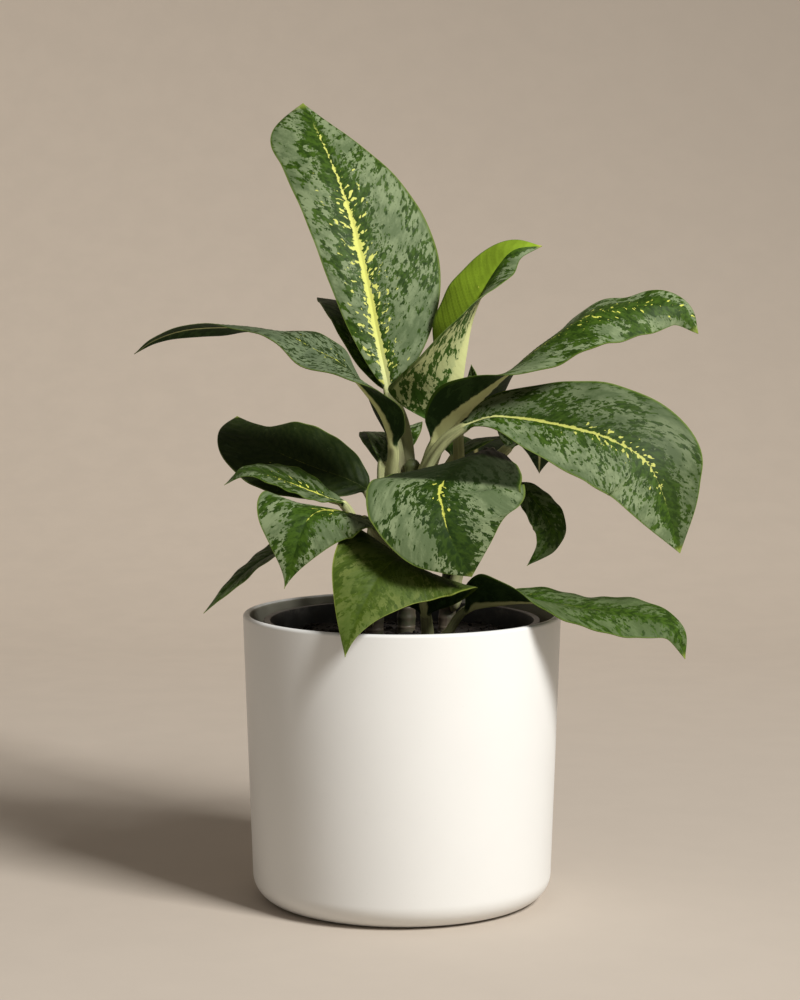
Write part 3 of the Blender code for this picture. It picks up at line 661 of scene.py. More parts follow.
def splinePath(points):
    knots = [Vector(p) for p in points]
    knots = [2 * knots[0] - knots[1]] + knots + [2 * knots[-1] - knots[-2]]
    path = []
    for i in range(1, len(knots) - 2):
        for step in range(blade["splineSteps"]):
            path.append(splinePoint(*knots[i - 1:i + 3], step / blade["splineSteps"]))
    path.append(knots[-2])
    lengths = [0.0]
    for a, b in zip(path, path[1:]):
        lengths.append(lengths[-1] + (b - a).length)
    return path, lengths


def pathPoint(path, lengths, distance):
    for i in range(1, len(path)):
        if lengths[i] >= distance or i == len(path) - 1:
            share = (distance - lengths[i - 1]) / (lengths[i] - lengths[i - 1])
            return path[i - 1].lerp(path[i], share)


def pathDirection(path, lengths, distance):
    low = max(0.0, distance - blade["spineReach"])
    high = min(lengths[-1], distance + blade["spineReach"])
    return (pathPoint(path, lengths, high) - pathPoint(path, lengths, low)).normalized()


def ease(share):
    share = min(max(share, 0.0), 1.0)
    return share * share * (3 - 2 * share)


def blend3(values, t):
    # smooth curve through the values at the base, the middle and the tip
    a, b, c = values
    return a * (1 - t) * (1 - 2 * t) + b * 4 * t * (1 - t) + c * t * (2 * t - 1)


def faceAt(faces, t):
    for (low, first), (high, second) in zip(faces, faces[1:]):
        if t <= high:
            share = ease((t - low) / (high - low))
            return Vector(first).normalized().lerp(Vector(second).normalized(), share)


def bladeWidth(t, peak, taper):
    if t < peak:
        return math.sin(math.pi / 2 * (t / peak) ** blade["baseRounding"])
    fall = (t - peak) / (1 - peak)
    return (1 - taper) * (1 - fall ** blade["tipRounding"]) + taper * (1 - ease(fall))


def footPoints(foot):
    # the stalk's first points, and the direction from there to the cane
    kind, level, angle = foot
    if kind == "soil":
        x, y = level
        low = Vector((x, y, soil["top"] - blade["soilDepth"]))
        return [low, Vector((x, y, soil["top"] + 3))], None
    side = Vector((math.cos(math.radians(angle)), math.sin(math.radians(angle)), 0.0))
    points = []
    for rise in blade["stalkRises"]:
        centre, radius = canePlace(kind, level + rise)
        away = radius + caneShape["swell"] + blade["footRadius"] + blade["clearance"]
        points.append(centre + side * away)
    return points, -side


def leafFrames(leaf):
    # (t, centre, along, up) at each ring, t from -1 at the stalk's foot over 0 at the blade's base to 1
    first, inwards = footPoints(leaf["foot"])
    stalk = first + [Vector(p) for p in leaf["stalk"]]
    path, lengths = splinePath(stalk + [Vector(p) for p in leaf["rib"]])
    start = lengths[len(stalk) * blade["splineSteps"]]
    length = lengths[-1] - start
    frames = []
    for i in range(blade["stations"] + 1):
        # closer rings at the neck and at the tip
        t = i / blade["stations"]
        t = t - 0.09 * math.sin(2 * math.pi * t) / math.pi
        distance = start + length * t
        along = pathDirection(path, lengths, distance)
        face = faceAt(leaf["face"], t)
        up = (face - along * face.dot(along)).normalized()
        frames.append((t, pathPoint(path, lengths, distance), along, up))
    up = frames[0][3]
    for i in range(blade["stalkStations"]):
        share = 1 - (i + 1) / blade["stalkStations"]
        distance = start * share
        along = pathDirection(path, lengths, distance)
        up = (up - along * up.dot(along)).normalized()
        turned = up
        if inwards:
            # the channel turns to the cane further down
            turned = up.lerp(inwards, 1 - ease(share * 1.3))
            turned = (turned - along * turned.dot(along)).normalized()
        frames.insert(0, (share - 1.0, pathPoint(path, lengths, distance), along, turned))
    return frames, start, length


def columnShares():
    count = blade["halfColumns"]
    return [(i / count) ** 1.35 for i in range(count + 1)]


def halfBlade(leaf, side, t, length):
    # (across, rise, slope, share, reach in mm) of the columns of one half blade
    sign = 2 * side - 1
    folds = leaf["foldRight"] if side else leaf["foldLeft"]
    share = bladeWidth(t, leaf["peak"][side], leaf["taper"][side])
    width = max(leaf["half"][side] * share, blade["leastHalf"])
    height, waves, start = leaf["wave"]
    wave = height * share * math.sin(2 * math.pi * (waves * t + start + blade["waveShift"] * side))
    ruffle = leaf["ruffle"] * share * math.sin(2 * math.pi * (waves * 3.3 * t + start + 0.6 * side))
    points = []
    across = rise = last = 0.0
    for column in columnShares():
        slope = math.radians(blend3(folds, t) + leaf["curl"][side] * (column + last) / 2)
        across += width * (column - last) * math.cos(slope)
        rise += width * (column - last) * math.sin(slope)
        reach = width * column
        vein = length * t - reach * blade["veinLean"] - reach * reach * blade["veinBend"]
        fade = ease(column * 5) * ease((1 - column) * 6) * ease(share * 2)
        quilt = blade["quilt"] * fade * math.cos(2 * math.pi * vein / blade["veinPitch"])
        lift = wave * column ** 2 + ruffle * column ** 4 + quilt
        points.append((sign * across, rise + lift, sign * slope if column else 0.0, sign * column, sign * reach))
        last = column
    return points, min(width / blade["lean"], 1.0)


def leafRing(leaf, t, length):
    # section points (across, rise) and what the pattern needs: (share, reach in mm, under side)
    half = blade["halfColumns"]
    count = 2 * half + 1
    radius = blade["neckRadius"] + (blade["footRadius"] - blade["neckRadius"]) * max(-t, 0.0)
    shares = columnShares()
    spread = [-c for c in reversed(shares[1:])] + shares
    # the stalk: round below, with a channel on the upper side near the blade
    channel = leaf["channel"] * ease(1 - abs(t) * 1.2)
    wing = 1 + leaf["wing"] * ease(1 - abs(t + 0.35) / 0.65)
    circle = []
    for under in (0, 1):
        for share in (spread if not under else reversed(spread)):
            angle = math.pi / 2 * (1 - share * (1 - 0.5 / count))
            a = radius * wing * math.cos(angle)
            r = radius * math.sin(angle)
            if under:
                r = -r
            else:
                r *= 1 - channel * math.exp(-(share / 0.45) ** 2)
            circle.append((a, r, share, share * radius, under))
    if t <= 0:
        return circle
    left, leanLeft = halfBlade(leaf, 0, t, length)
    right, leanRight = halfBlade(leaf, 1, t, length)
    middle = [(*p, leanLeft) for p in reversed(left[1:])] + [(*p, leanRight) for p in right]
    ridge = blade["ridge"] * (1 - t) ** blade["ridgeFade"]
    groove = blade["groove"] * (1 - t) ** 0.8
    upper = []
    lower = []
    for across, rise, slope, share, reach, lean in middle:
        thick = blade["thickness"] - (blade["thickness"] - blade["margin"]) * share ** 4
        thick *= 0.35 + 0.65 * min(1.0, (1 - t) * 12)
        x = -thick / 2 * math.sin(slope * lean)
        y = thick / 2 * math.cos(slope * lean)
        dip = groove * math.exp(-(reach / blade["grooveWidth"]) ** 2)
        bulge = ridge * math.exp(-(reach / blade["ridgeWidth"]) ** 2)
        upper.append((across + x, rise + y - dip, share, reach, 0))
        lower.append((across - x, rise - y - bulge, share, reach, 1))
    flat = upper + lower[::-1]
    opened = ease(t / blade["neckShare"])
    ring = []
    for c, f in zip(circle, flat):
        ring.append((c[0] + (f[0] - c[0]) * opened, c[1] + (f[1] - c[1]) * opened, f[2], f[3], f[4]))
    return ring


def footClose(t, stalkLength, leaf):
    # the sheath's lower end narrows and lies against the cane
    if leaf["foot"][0] == "soil":
        return 1.0
    rise = (t + 1) * stalkLength
    return 0.3 + 0.7 * math.sqrt(min(rise / leaf["sheathRise"], 1.0))


def makeLeaf(node, leaf):
    frames, stalkLength, length = leafFrames(leaf)
    around = 4 * blade["halfColumns"] + 2
    rows = len(frames) - 1
    deselectAll()
    bpy.ops.mesh.primitive_grid_add(x_subdivisions=around, y_subdivisions=rows, size=2.0)
    item = newest(node + "Blade")
    settle(item)
    rings = []
    for t, centre, along, up in frames:
        across = along.cross(up)
        ring = []
        shrink = footClose(t, stalkLength, leaf) if t < 0 else 1.0
        slide = (1 - shrink) * blade["footRadius"] * 1.1
        for a, r, share, reach, under in leafRing(leaf, t, length):
            point = centre + across * a * shrink + up * (r * shrink + slide)
            ring.append((point * mm, (reach, length * t if t > 0 else stalkLength * t, under), (share, t, 0.0)))
        rings.append(ring)
    place = item.data.attributes.new("leafPlace", "FLOAT_VECTOR", "POINT")
    shares = item.data.attributes.new("leafShare", "FLOAT_VECTOR", "POINT")
    for vertex in item.data.vertices:
        i = round((vertex.co.x + 1) / 2 * around) % around
        j = round((vertex.co.y + 1) / 2 * rows)
        vertex.co, place.data[vertex.index].vector, shares.data[vertex.index].vector = rings[j][i]
    bpy.ops.object.mode_set(mode="EDIT")
    bpy.ops.mesh.select_mode(type="VERT")
    bpy.ops.mesh.select_all(action="SELECT")
    bpy.ops.mesh.remove_doubles(threshold=1e-7)
    bpy.ops.mesh.select_all(action="DESELECT")
    bpy.ops.mesh.select_non_manifold()
    bpy.ops.mesh.fill()
    bpy.ops.mesh.select_all(action="SELECT")
    bpy.ops.mesh.normals_make_consistent(inside=False)
    bpy.ops.object.mode_set(mode="OBJECT")
    smooth(item, 60)
    finishPiece(item, leafSkin(node, leaf), node)


def leafSkin(node, leaf):
    look = leaf["look"]
    skin = Finish(node + "Skin", 0.4)
    skin.set("Specular IOR Level", look["shine"])
    reach, along, under = skin.split(skin.attribute("leafPlace"))
    share, length, spare = skin.split(skin.attribute("leafShare"))
    half = share > 0
    away = abs(reach)
    edge = abs(share)
    seed = look["seed"] * 3.7
    # lateral veins leave the midrib forwards and bend to the tip
    vein = along - away * blade["veinLean"] - away * away * blade["veinBend"]
    run = away + along * 0.45
    # jagged spots of several sizes, drawn out a little along the veins
    tone = skin.noise(skin.vector(vein * 0.055, run * 0.05, half * 3.1 + seed + 4), 1.0, 3.0, 0.5)
    spots = skin.noise(skin.vector(vein * 0.17, run * 0.135, half * 5.3 + seed), 1.0, 6.0, 0.66, 0.15)
    flecks = skin.noise(skin.vector(vein * 0.44, run * 0.30, half * 5.3 + seed + 9), 1.0, 3.5, 0.62, 0.15)
    jag = skin.noise(skin.vector(vein * 0.40, run * 0.26, half * 2.3 + seed + 15), 1.0, 4.0, 0.65, 0.2)
    drops = skin.noise(skin.vector(vein * 0.42, run * 0.24, half * 4.1 + seed + 21), 1.0, 2.0, 0.5, 0.2)
    # a dark zone with torn sides beside the midrib and towards the base
    base, middle, tip = look["darkZone"]
    zoneWidth = (1 - length) * (1 - length * 2) * base + length * (1 - length) * (4 * middle) \
        + length * (length * 2 - 1) * tip
    ragged = (spots - 0.5) * 2.2 + (flecks - 0.5) * 0.8
    zone = (zoneWidth - edge + ragged).step(-0.01, 0.02)
    zone = 1 - (1 - zone) * (1 - (look["darkBase"] - length + (spots - 0.5) * 0.6).step(-0.01, 0.02))
    # dark flecks lie denser near the midrib and the margin
    dense = look["fleckShare"] + (tone - 0.5) * 0.4 + edge.step(0.7, 1.0) * 0.015
    blend = spots * look["coarse"] + flecks * (1 - look["coarse"])
    silver = (1 - zone) * (blend - dense).step(-0.004, 0.010)
    dark = skin.mix(jag.step(0.38, 0.62), look["dark"], look["mid"])
    pale = skin.mix((spots + tone).step(0.8, 1.15), look["silverDull"], look["silverLight"])
    colour = skin.mix(silver, dark, pale)
    # a half painted plain bright yellow-green, a painted glow standing in for light shining through the leaf, with
    # faint veins
    plain = skin.mix((tone + spots * 0.5).step(0.6, 0.9), look["plain"], tuple(c * 0.75 for c in look["plain"]))
    colour = skin.mix((1 - half) * look["plainLeft"], colour, plain)
    # painted shade: halves, base and tip painted darker towards the shade colour, standing in for shade and shadow from
    # the leaves above
    left, right = look["halfShade"]
    base, full, none = look["baseShade"]
    tip, start = look["tipShade"]
    shade = 1 - (1 - half * (right - left) - left) * (1 - length.step(none, full) * base)
    shade = 1 - (1 - shade) * (1 - length.step(start, start + 0.3) * tip)
    colour = skin.mix(shade, colour, look["shadeColour"])
    # lime flecks beside the midrib
    low, high = look["fleckRange"]
    near = (1 - away / look["fleckReach"]).step(0.0, 1.0)
    near = near * (length - low).step(-0.1, 0.1) * (high - length).step(-0.05, 0.15)
    lime = (drops + near * look["flecks"] - 0.12).step(0.60, 0.62)
    colour = skin.mix(lime * near.step(0.0, 0.1), colour, look["rib"])
    # midrib stripe with jagged sides
    fall = (1 - length / look["ribReach"]).step(-0.05, 0.7) * (length - look["ribStart"]).step(-0.03, 0.03)
    stripe = look["ribWidth"] * fall + (jag - 0.5) * look["ribJag"] * (0.5 + length)
    rib = (stripe - away).step(-0.15, 0.30) * fall.step(0.0, 0.1)
    colour = skin.mix(rib, colour, skin.mix(length.step(0.0, 0.25), look["ribBase"], look["rib"]))
    # margin
    point = length.step(0.968, 0.995)
    colour = skin.mix(point * 0.7, colour, look["tip"])
    rim = (edge + (flecks - 0.5) * 0.03).step(0.972, 0.984)
    colour = skin.mix(edge.step(0.93, 0.97) * 0.5, colour, look["mid"])
    colour = skin.mix(rim * 0.8, colour, look["margin"])
    # under side
    backRib = ((1 - length) ** 0.8) * look["backRib"] * (jag * look["backJag"] + 1 - look["backJag"] * 0.5)
    backRib = (backRib - away).step(-0.4, 0.7)
    mottle = (spots + (tone - 0.5) * 0.3 + (flecks - 0.5) * 0.3 + look["backPale"]).step(0.52, 0.55)
    back = skin.mix(mottle * look["backMottle"], look["under"], look["underPale"])
    back = skin.mix(backRib, back, look["ribBase"])
    back = skin.mix(edge.step(0.90, 0.95) * 0.8, back, look["mid"])
    colour = skin.mix(under.step(0.4, 0.6), colour, back)
    # stalk
    streak = skin.noise(skin.vector(share * 2.2, along * 0.05, seed), 1.0, 4.0, 0.6)
    foot = skin.mix(streak.step(0.4, 0.6), look["stalkFoot"], look["stalk"])
    stalk = skin.mix(streak.step(0.42, 0.62) * look["streaks"], look["stalk"], look["streak"])
    stalk = skin.mix((0 - length).step(0.1, 0.9), stalk, foot)
    colour = skin.mix((0.02 + (jag - 0.5) * 0.05 - length).step(0.0, 0.03), colour, stalk)
    skin.set("Base Color", colour)
    skin.set("Roughness", silver * 0.05 + look["roughness"] + under * 0.08)
    lines = (vein * (2 * math.pi / 2.6)).sine() * 0.5 + (vein * (2 * math.pi / blade["veinPitch"])).sine()
    grain = skin.noise(skin.vector(reach, along, under), 1.3, 2.0)
    skin.bump(lines * 0.05 * length.step(0.0, 0.08) + grain * 0.12 + silver * 0.04, 0.9 * mm, 0.5)
    return skin.material


plainLook = {
    "seed": 1, "fleckShare": 0.43, "darkZone": (0.05, 0.14, 0.2), "darkBase": -0.3,
    # the bright yellow-green half colour in this table is a painted glow for light shining through a leaf
    "dark": (0.016, 0.040, 0.002), "mid": (0.044, 0.092, 0.007), "coarse": 0.62, "plainLeft": 0.0, "plain": (0.22, 0.34, 0.02),
    "halfShade": (0.0, 0.0), "baseShade": (0.0, 0.3, 0.5), "tipShade": (0.0, 0.5), "shadeColour": (0.014, 0.026, 0.004),
    "silverDull": (0.100, 0.142, 0.062), "silverLight": (0.200, 0.252, 0.130),
    "flecks": 0.12, "fleckReach": 10.0, "fleckRange": (0.1, 0.7),
    "ribWidth": 0.8, "ribStart": -1.0, "ribReach": 0.6, "ribJag": 2.0, "ribBase": (0.60, 0.62, 0.28), "rib": (0.56, 0.58, 0.10),
    "margin": (0.12, 0.17, 0.025), "tip": (0.26, 0.32, 0.05), "roughness": 0.54, "shine": 0.14,
    "under": (0.012, 0.030, 0.006), "underPale": (0.035, 0.07, 0.018), "backMottle": 0.5, "backPale": 0.0,
    "backRib": 2.2, "backJag": 0.3,
    "stalk": (0.40, 0.42, 0.20), "stalkFoot": (0.30, 0.28, 0.17), "streak": (0.16, 0.15, 0.08), "streaks": 0.5,
}


crownLeaf = {
    "foot": ("cane_main", 186, 147),
    "stalk": [(-5, 13, 224)],
    "rib": [(-6, 12, 239), (-12, 21, 267), (-18, 31, 296), (-25, 41, 323), (-32, 50, 343),
            (-40, 64, 361), (-49, 82, 379)],
    "face": [(0.0, (0.1, -1.0, 0.2)), (0.5, (0.2, -0.95, 0.35)), (1.0, (0.1, -0.6, 0.8))],
    "half": (23.5, 37), "peak": (0.78, 0.42), "taper": (-0.7, 0.5),
    "foldLeft": (20, 14, 0), "foldRight": (18, 6, 4), "curl": (-30, -10),
    "wave": (1.0, 2.0, 0.2),
    "ruffle": 0.35, "channel": 0.55, "sheathRise": 6.0, "wing": 0.3,
    "look": {**plainLook, "seed": 1, "fleckShare": 0.472, "darkZone": (0.14, 0.16, 0.24),
             "ribWidth": 1.9, "ribReach": 0.92, "ribJag": 5.0, "flecks": 0.16, "fleckReach": 17.0,
             "fleckRange": (0.0, 0.7), "rib": (0.6, 0.62, 0.15)},
}
makeLeaf("leaf_crown", crownLeaf)

upperRightLeaf = {
    "foot": ("cane_main", 176, 25),
    "stalk": [(15, 9, 207)],
    "rib": [(20, 3, 221), (26, -1, 240), (29, -2, 257), (32, 0, 272), (37, 3, 285),
            (45, 8, 298), (53, 10, 306), (66, 12, 308)],
    "face": [(0.0, (-1.0, 0.1, 0.3)), (0.5, (-0.85, -0.3, 0.6)), (1.0, (-0.3, -0.6, 0.8))],
    "half": (25, 34), "peak": (0.45, 0.16), "taper": (0.3, 0.5),
    "foldLeft": (18, 26, 10), "foldRight": (92, 34, -36), "curl": (-10, -10),
    "wave": (0.6, 2.0, 0.0),
    "ruffle": 0.35, "channel": 0.55, "sheathRise": 6.0, "wing": 0.2,
    # the left half gets the painted glow, standing in for light shining through it from behind
    "look": {**plainLook, "seed": 2, "under": (0.045, 0.1, 0.012), "underPale": (0.48, 0.52, 0.24),
             "backMottle": 1.0, "backPale": 0.03, "backRib": 7.0, "backJag": 1.2, "plainLeft": 1.0,
             "margin": (0.1, 0.16, 0.02), "tip": (0.45, 0.48, 0.06), "darkZone": (0.1, 0.3, 0.45),
             "ribWidth": 0.0, "ribJag": 0.6, "flecks": -0.2},
}
makeLeaf("leaf_upper_right", upperRightLeaf)

upperLeftLeaf = {
    "foot": ("cane_main", 168, 246),
    "stalk": [(-5, -5, 198)],
    "rib": [(-4, -9, 214), (-9, -12, 230), (-18, -16, 243), (-28, -20, 254), (-41, -22, 261),
            (-55, -22, 268), (-75, -20, 271), (-98, -17, 270), (-114, -14, 265), (-124, -12, 258)],
    "face": [(0.0, (0.7, 0.5, 0.5)), (0.42, (0.1, -0.38, 0.92)), (0.58, (0.0, 0.06, 1.0)),
             (0.8, (0.05, 0.3, 0.95)), (1.0, (0.0, 0.35, 0.9))],
    "half": (23, 21), "peak": (0.33, 0.33), "taper": (0.45, 0.45),
    "foldLeft": (22, 0, -8), "foldRight": (25, 0, -8), "curl": (-8, -8),
    "wave": (1.0, 2.5, 0.3),
    "ruffle": 0.35, "channel": 0.55, "sheathRise": 6.0, "wing": 0.5,
    "look": {**plainLook, "seed": 3, "fleckShare": 0.465, "coarse": 0.3, "darkZone": (-0.1, 0.0, 0.3),
             "ribWidth": 0.4, "ribReach": 0.5, "ribJag": 2.5, "flecks": 0.0,
             "silverDull": (0.08, 0.11, 0.058), "silverLight": (0.135, 0.175, 0.095),
             "dark": (0.014, 0.028, 0.006), "mid": (0.024, 0.045, 0.01), "tipShade": (0.6, 0.45)},
}
makeLeaf("leaf_upper_left", upperLeftLeaf)

behindCrownLeaf = {
    "foot": ("cane_main", 178, 92),
    "stalk": [(1, 19, 222)],
    "rib": [(-5, 22, 238), (-12, 30, 255), (-19, 43, 272), (-23, 61, 279), (-26, 82, 277),
            (-28, 98, 265)],
    "face": [(0.0, (0.2, -0.9, 0.4)), (0.5, (0.2, -0.6, 0.8)), (1.0, (0.1, 0.1, 0.9))],
    "half": (18, 18), "peak": (0.5, 0.45), "taper": (-0.6, -0.2),
    "foldLeft": (22, 12, 6), "foldRight": (22, 12, 6), "curl": (-12, -12),
    "wave": (1.2, 2.0, 0.6),
    "ruffle": 0.35, "channel": 0.55, "sheathRise": 6.0, "wing": 0.2,
    "look": {**plainLook, "seed": 4, "fleckShare": 0.58, "ribWidth": 0.0, "ribJag": 0.6, "flecks": -0.2,
             "silverDull": (0.065, 0.1, 0.032), "silverLight": (0.105, 0.15, 0.058)},
}
makeLeaf("leaf_behind_crown", behindCrownLeaf)

backLeftLeaf = {
    "foot": ("cane_main", 156, 200),
    "stalk": [(-8, 6, 191)],
    "rib": [(-9, 16, 205), (-6, 30, 215), (-5, 48, 217), (-5, 66, 207), (-7, 84, 189)],
    "face": [(0.0, (0.3, -0.7, 0.7)), (0.5, (-0.2, -0.1, 1.0)), (1.0, (-0.2, 0.6, 0.6))],
    "half": (16, 16), "peak": (0.42, 0.42), "taper": (0.7, 0.7),
    "foldLeft": (22, 12, 6), "foldRight": (22, 12, 6), "curl": (-12, -12),
    "wave": (1.0, 2.0, 0.1),
    "ruffle": 0.35, "channel": 0.55, "sheathRise": 6.0, "wing": 0.2,
    "look": {**plainLook, "seed": 5, "fleckShare": 0.5, "ribWidth": 0.0, "ribJag": 0.6, "flecks": -0.2},
}
makeLeaf("leaf_back_left", backLeftLeaf)

upperRightLongLeaf = {
    "foot": ("cane_main", 184, 334),
    "stalk": [(13, 1, 207)],
    "rib": [(15, -2, 215), (19, -5, 221), (25, -7, 228), (34, -8, 236), (50, -8, 250), (67, -6, 263),
            (89, -3, 276), (112, 0, 280), (129, 2, 278), (139, 4, 267)],
    "face": [(0.0, (-0.5, 0.6, 0.6)), (0.5, (-0.2, -0.2, 0.95)), (0.75, (0.0, -0.45, 0.9)),
             (0.9, (0.15, -0.85, 0.5)), (1.0, (0.2, -0.95, 0.3))],
    "half": (18, 24), "peak": (0.40, 0.30), "taper": (-0.7, -0.3),
    "foldLeft": (-12, -12, -6), "foldRight": (55, -12, -6), "curl": (-8, -8),
    "wave": (1.0, 2.5, 0.5),
    "ruffle": 0.35, "channel": 0.55, "sheathRise": 6.0, "wing": 0.9,
    "look": {**plainLook, "seed": 6, "fleckShare": 0.475, "darkZone": (0.1, 0.3, 0.45), "backRib": 4.5,
             "backJag": 0.6, "ribWidth": 0.3, "fleckRange": (0.5, 0.95), "flecks": 0.12},
}
makeLeaf("leaf_upper_right_long", upperRightLongLeaf)

rightBroadLeaf = {
    "foot": ("cane_main", 148, 292),
    "stalk": [(8, -8, 186), (10, -10, 202), (18, -13, 216)],
    "rib": [(28, -16, 224), (40, -18, 229), (52, -20, 229), (67, -25, 227), (82, -30, 224),
            (97, -34, 219), (111, -37, 210), (119, -38, 194), (127, -36, 168)],
    "face": [(0.0, (-0.3, -0.6, 0.8)), (0.5, (0.0, -0.75, 0.65)), (1.0, (0.5, -0.8, 0.2))],
    "half": (31, 25), "peak": (0.60, 0.64), "taper": (0.2, 0.3),
    "foldLeft": (10, 4, 4), "foldRight": (30, -4, 4), "curl": (-8, -8),
    "wave": (0.8, 2.0, 0.4),
    "ruffle": 0.35, "channel": 0.55, "sheathRise": 6.0, "wing": 0.6,
    "look": {**plainLook, "seed": 7, "fleckShare": 0.465, "coarse": 0.42, "darkZone": (0.08, 0.22, 0.35),
             "ribWidth": 0.8, "ribReach": 0.85, "ribJag": 3.0, "fleckRange": (0.42, 0.8), "flecks": 0.19,
             "fleckReach": 8.5, "rib": (0.48, 0.5, 0.12), "halfShade": (0.42, 0.0)},
}
makeLeaf("leaf_right_broad", rightBroadLeaf)

centreFrontLeaf = {
    "foot": ("cane_right", 152, 345),
    "stalk": [(38, 0, 200)],
    "rib": [(41, -8, 213), (32, -24, 211), (23, -42, 206), (17, -56, 199), (18, -65, 191),
            (21, -69, 180), (26, -69, 170), (31, -67, 161)],
    "face": [(0.0, (0.0, 0.0, 1.0)), (0.42, (-0.1, -0.25, 0.95)), (0.71, (0.0, -1.0, 0.25)),
             (1.0, (0.0, -1.0, 0.1))],
    "half": (38, 33), "peak": (0.64, 0.61), "taper": (0.3, 0.3),
    "foldLeft": (-8, 2, 4), "foldRight": (-24, 0, 4), "curl": (-6, -6),
    "wave": (0.6, 2.0, 0.0),
    "ruffle": 0.35, "channel": 0.55, "sheathRise": 6.0, "wing": 0.2,
    "look": {**plainLook, "seed": 8, "fleckShare": 0.462, "coarse": 0.5, "darkZone": (0.02, 0.12, 0.4),
             "ribWidth": 1.5, "ribStart": 0.5, "ribReach": 0.82, "ribJag": 2.4,
             "fleckRange": (0.5, 0.72), "fleckReach": 6.0, "darkBase": 0.1,
             "baseShade": (0.92, 0.465, 0.505), "shadeColour": (0.006, 0.012, 0.002),
             "tip": (0.16, 0.2, 0.03), "dark": (0.012, 0.032, 0.003), "mid": (0.03, 0.064, 0.006)},
}
makeLeaf("leaf_centre_front", centreFrontLeaf)

lowerLeftLeaf = {
    "foot": ("cane_left", 138, 308),
    "stalk": [(-10, -13, 172)],
    "rib": [(-16, -20, 182), (-25, -28, 186), (-33, -37, 188), (-40, -46, 187), (-44, -51, 182),
            (-48, -54, 171), (-53, -54, 154)],
    "face": [(0.0, (0.1, -0.1, 1.0)), (0.35, (0.0, -0.3, 0.95)), (0.62, (-0.1, -1.0, 0.3)),
             (1.0, (-0.1, -1.0, 0.1))],
    "half": (26, 27), "peak": (0.34, 0.48), "taper": (0.8, 0.9),
    "foldLeft": (-5, 2, 4), "foldRight": (-22, 0, 4), "curl": (-6, -6),
    "wave": (0.8, 2.0, 0.3),
    "ruffle": 0.35, "channel": 0.55, "sheathRise": 6.0, "wing": 0.7,
    "look": {**plainLook, "seed": 9, "fleckShare": 0.47, "darkZone": (0.1, 0.28, 0.3),
             "fleckRange": (0.0, 0.5), "flecks": 0.14},
}
makeLeaf("leaf_lower_left", lowerLeftLeaf)

leftMiddleLeaf = {
    "foot": ("cane_left", 146, 190),
    "stalk": [(-22, -4, 178)],
    "rib": [(-27, -3, 187), (-34, -6, 190), (-43, -9, 194), (-54, -13, 199), (-64, -17, 203),
            (-73, -20, 204), (-82, -22, 198)],
    "face": [(0.0, (0.3, -0.3, 0.9)), (0.5, (0.2, -0.35, 0.9)), (1.0, (-0.2, -0.2, 1.0))],
    "half": (17, 17), "peak": (0.42, 0.42), "taper": (0.6, 0.6),
    "foldLeft": (30, 12, 0), "foldRight": (15, 6, 0), "curl": (-10, -10),
    "wave": (0.8, 2.0, 0.2),
    "ruffle": 0.35, "channel": 0.55, "sheathRise": 6.0, "wing": 0.2,
    "look": {**plainLook, "seed": 10, "fleckShare": 0.5, "ribWidth": 1.0, "ribReach": 0.6,
             "halfShade": (0.3, 0.3)},
}
makeLeaf("leaf_left_middle", leftMiddleLeaf)

leftBroadLeaf = {
    "foot": ("cane_left", 144, 110),
    "stalk": [(-13, 6, 180)],
    "rib": [(-16, 10, 192), (-26, 12, 198), (-41, 16, 203), (-57, 20, 209), (-70, 25, 215),
            (-77, 32, 221), (-80, 42, 226)],
    "face": [(0.0, (0.3, -0.8, 0.5)), (0.5, (0.3, -0.8, 0.5)), (1.0, (0.0, -0.5, 0.85))],
    "half": (23, 22), "peak": (0.60, 0.50), "taper": (0.2, 0.3),
    "foldLeft": (12, 6, 4), "foldRight": (12, 4, 0), "curl": (-10, -10),
    "wave": (0.1, 2.0, 0.7),
    "ruffle": 0.35, "channel": 0.55, "sheathRise": 6.0, "wing": 0.2,
    # painted shade: this leaf's colours are set darker, standing in for the shade it hangs in
    "look": {**plainLook, "seed": 11, "fleckShare": 0.6, "ribWidth": 0.0, "ribJag": 0.6, "flecks": -0.2,
             "dark": (0.012, 0.024, 0.003), "mid": (0.022, 0.036, 0.006),
             "silverDull": (0.025, 0.042, 0.01), "silverLight": (0.04, 0.06, 0.02)},
}
makeLeaf("leaf_left_broad", leftBroadLeaf)

lowLeftLeaf = {
    "foot": ("cane_left", 130, 252),
    "stalk": [(-19, -12, 162)],
    "rib": [(-27, -14, 172), (-37, -18, 173), (-53, -23, 169), (-67, -28, 162), (-80, -32, 151),
            (-91, -34, 140)],
    "face": [(0.0, (-0.1, -0.3, 1.0)), (0.5, (-0.55, -0.22, 0.80)), (1.0, (-0.55, -0.3, 0.75))],
    "half": (13, 13), "peak": (0.42, 0.42), "taper": (0.6, 0.6),
    "foldLeft": (18, 10, 6), "foldRight": (18, 10, 6), "curl": (-10, -10),
    "wave": (0.8, 2.0, 0.2),
    "ruffle": 0.35, "channel": 0.55, "sheathRise": 6.0, "wing": 0.2,
    "look": {**plainLook, "seed": 12, "fleckShare": 0.48, "ribWidth": 0.0, "ribJag": 0.6, "flecks": -0.2,
             "silverDull": (0.065, 0.1, 0.032), "silverLight": (0.105, 0.15, 0.058)},
}
makeLeaf("leaf_low_left", lowLeftLeaf)

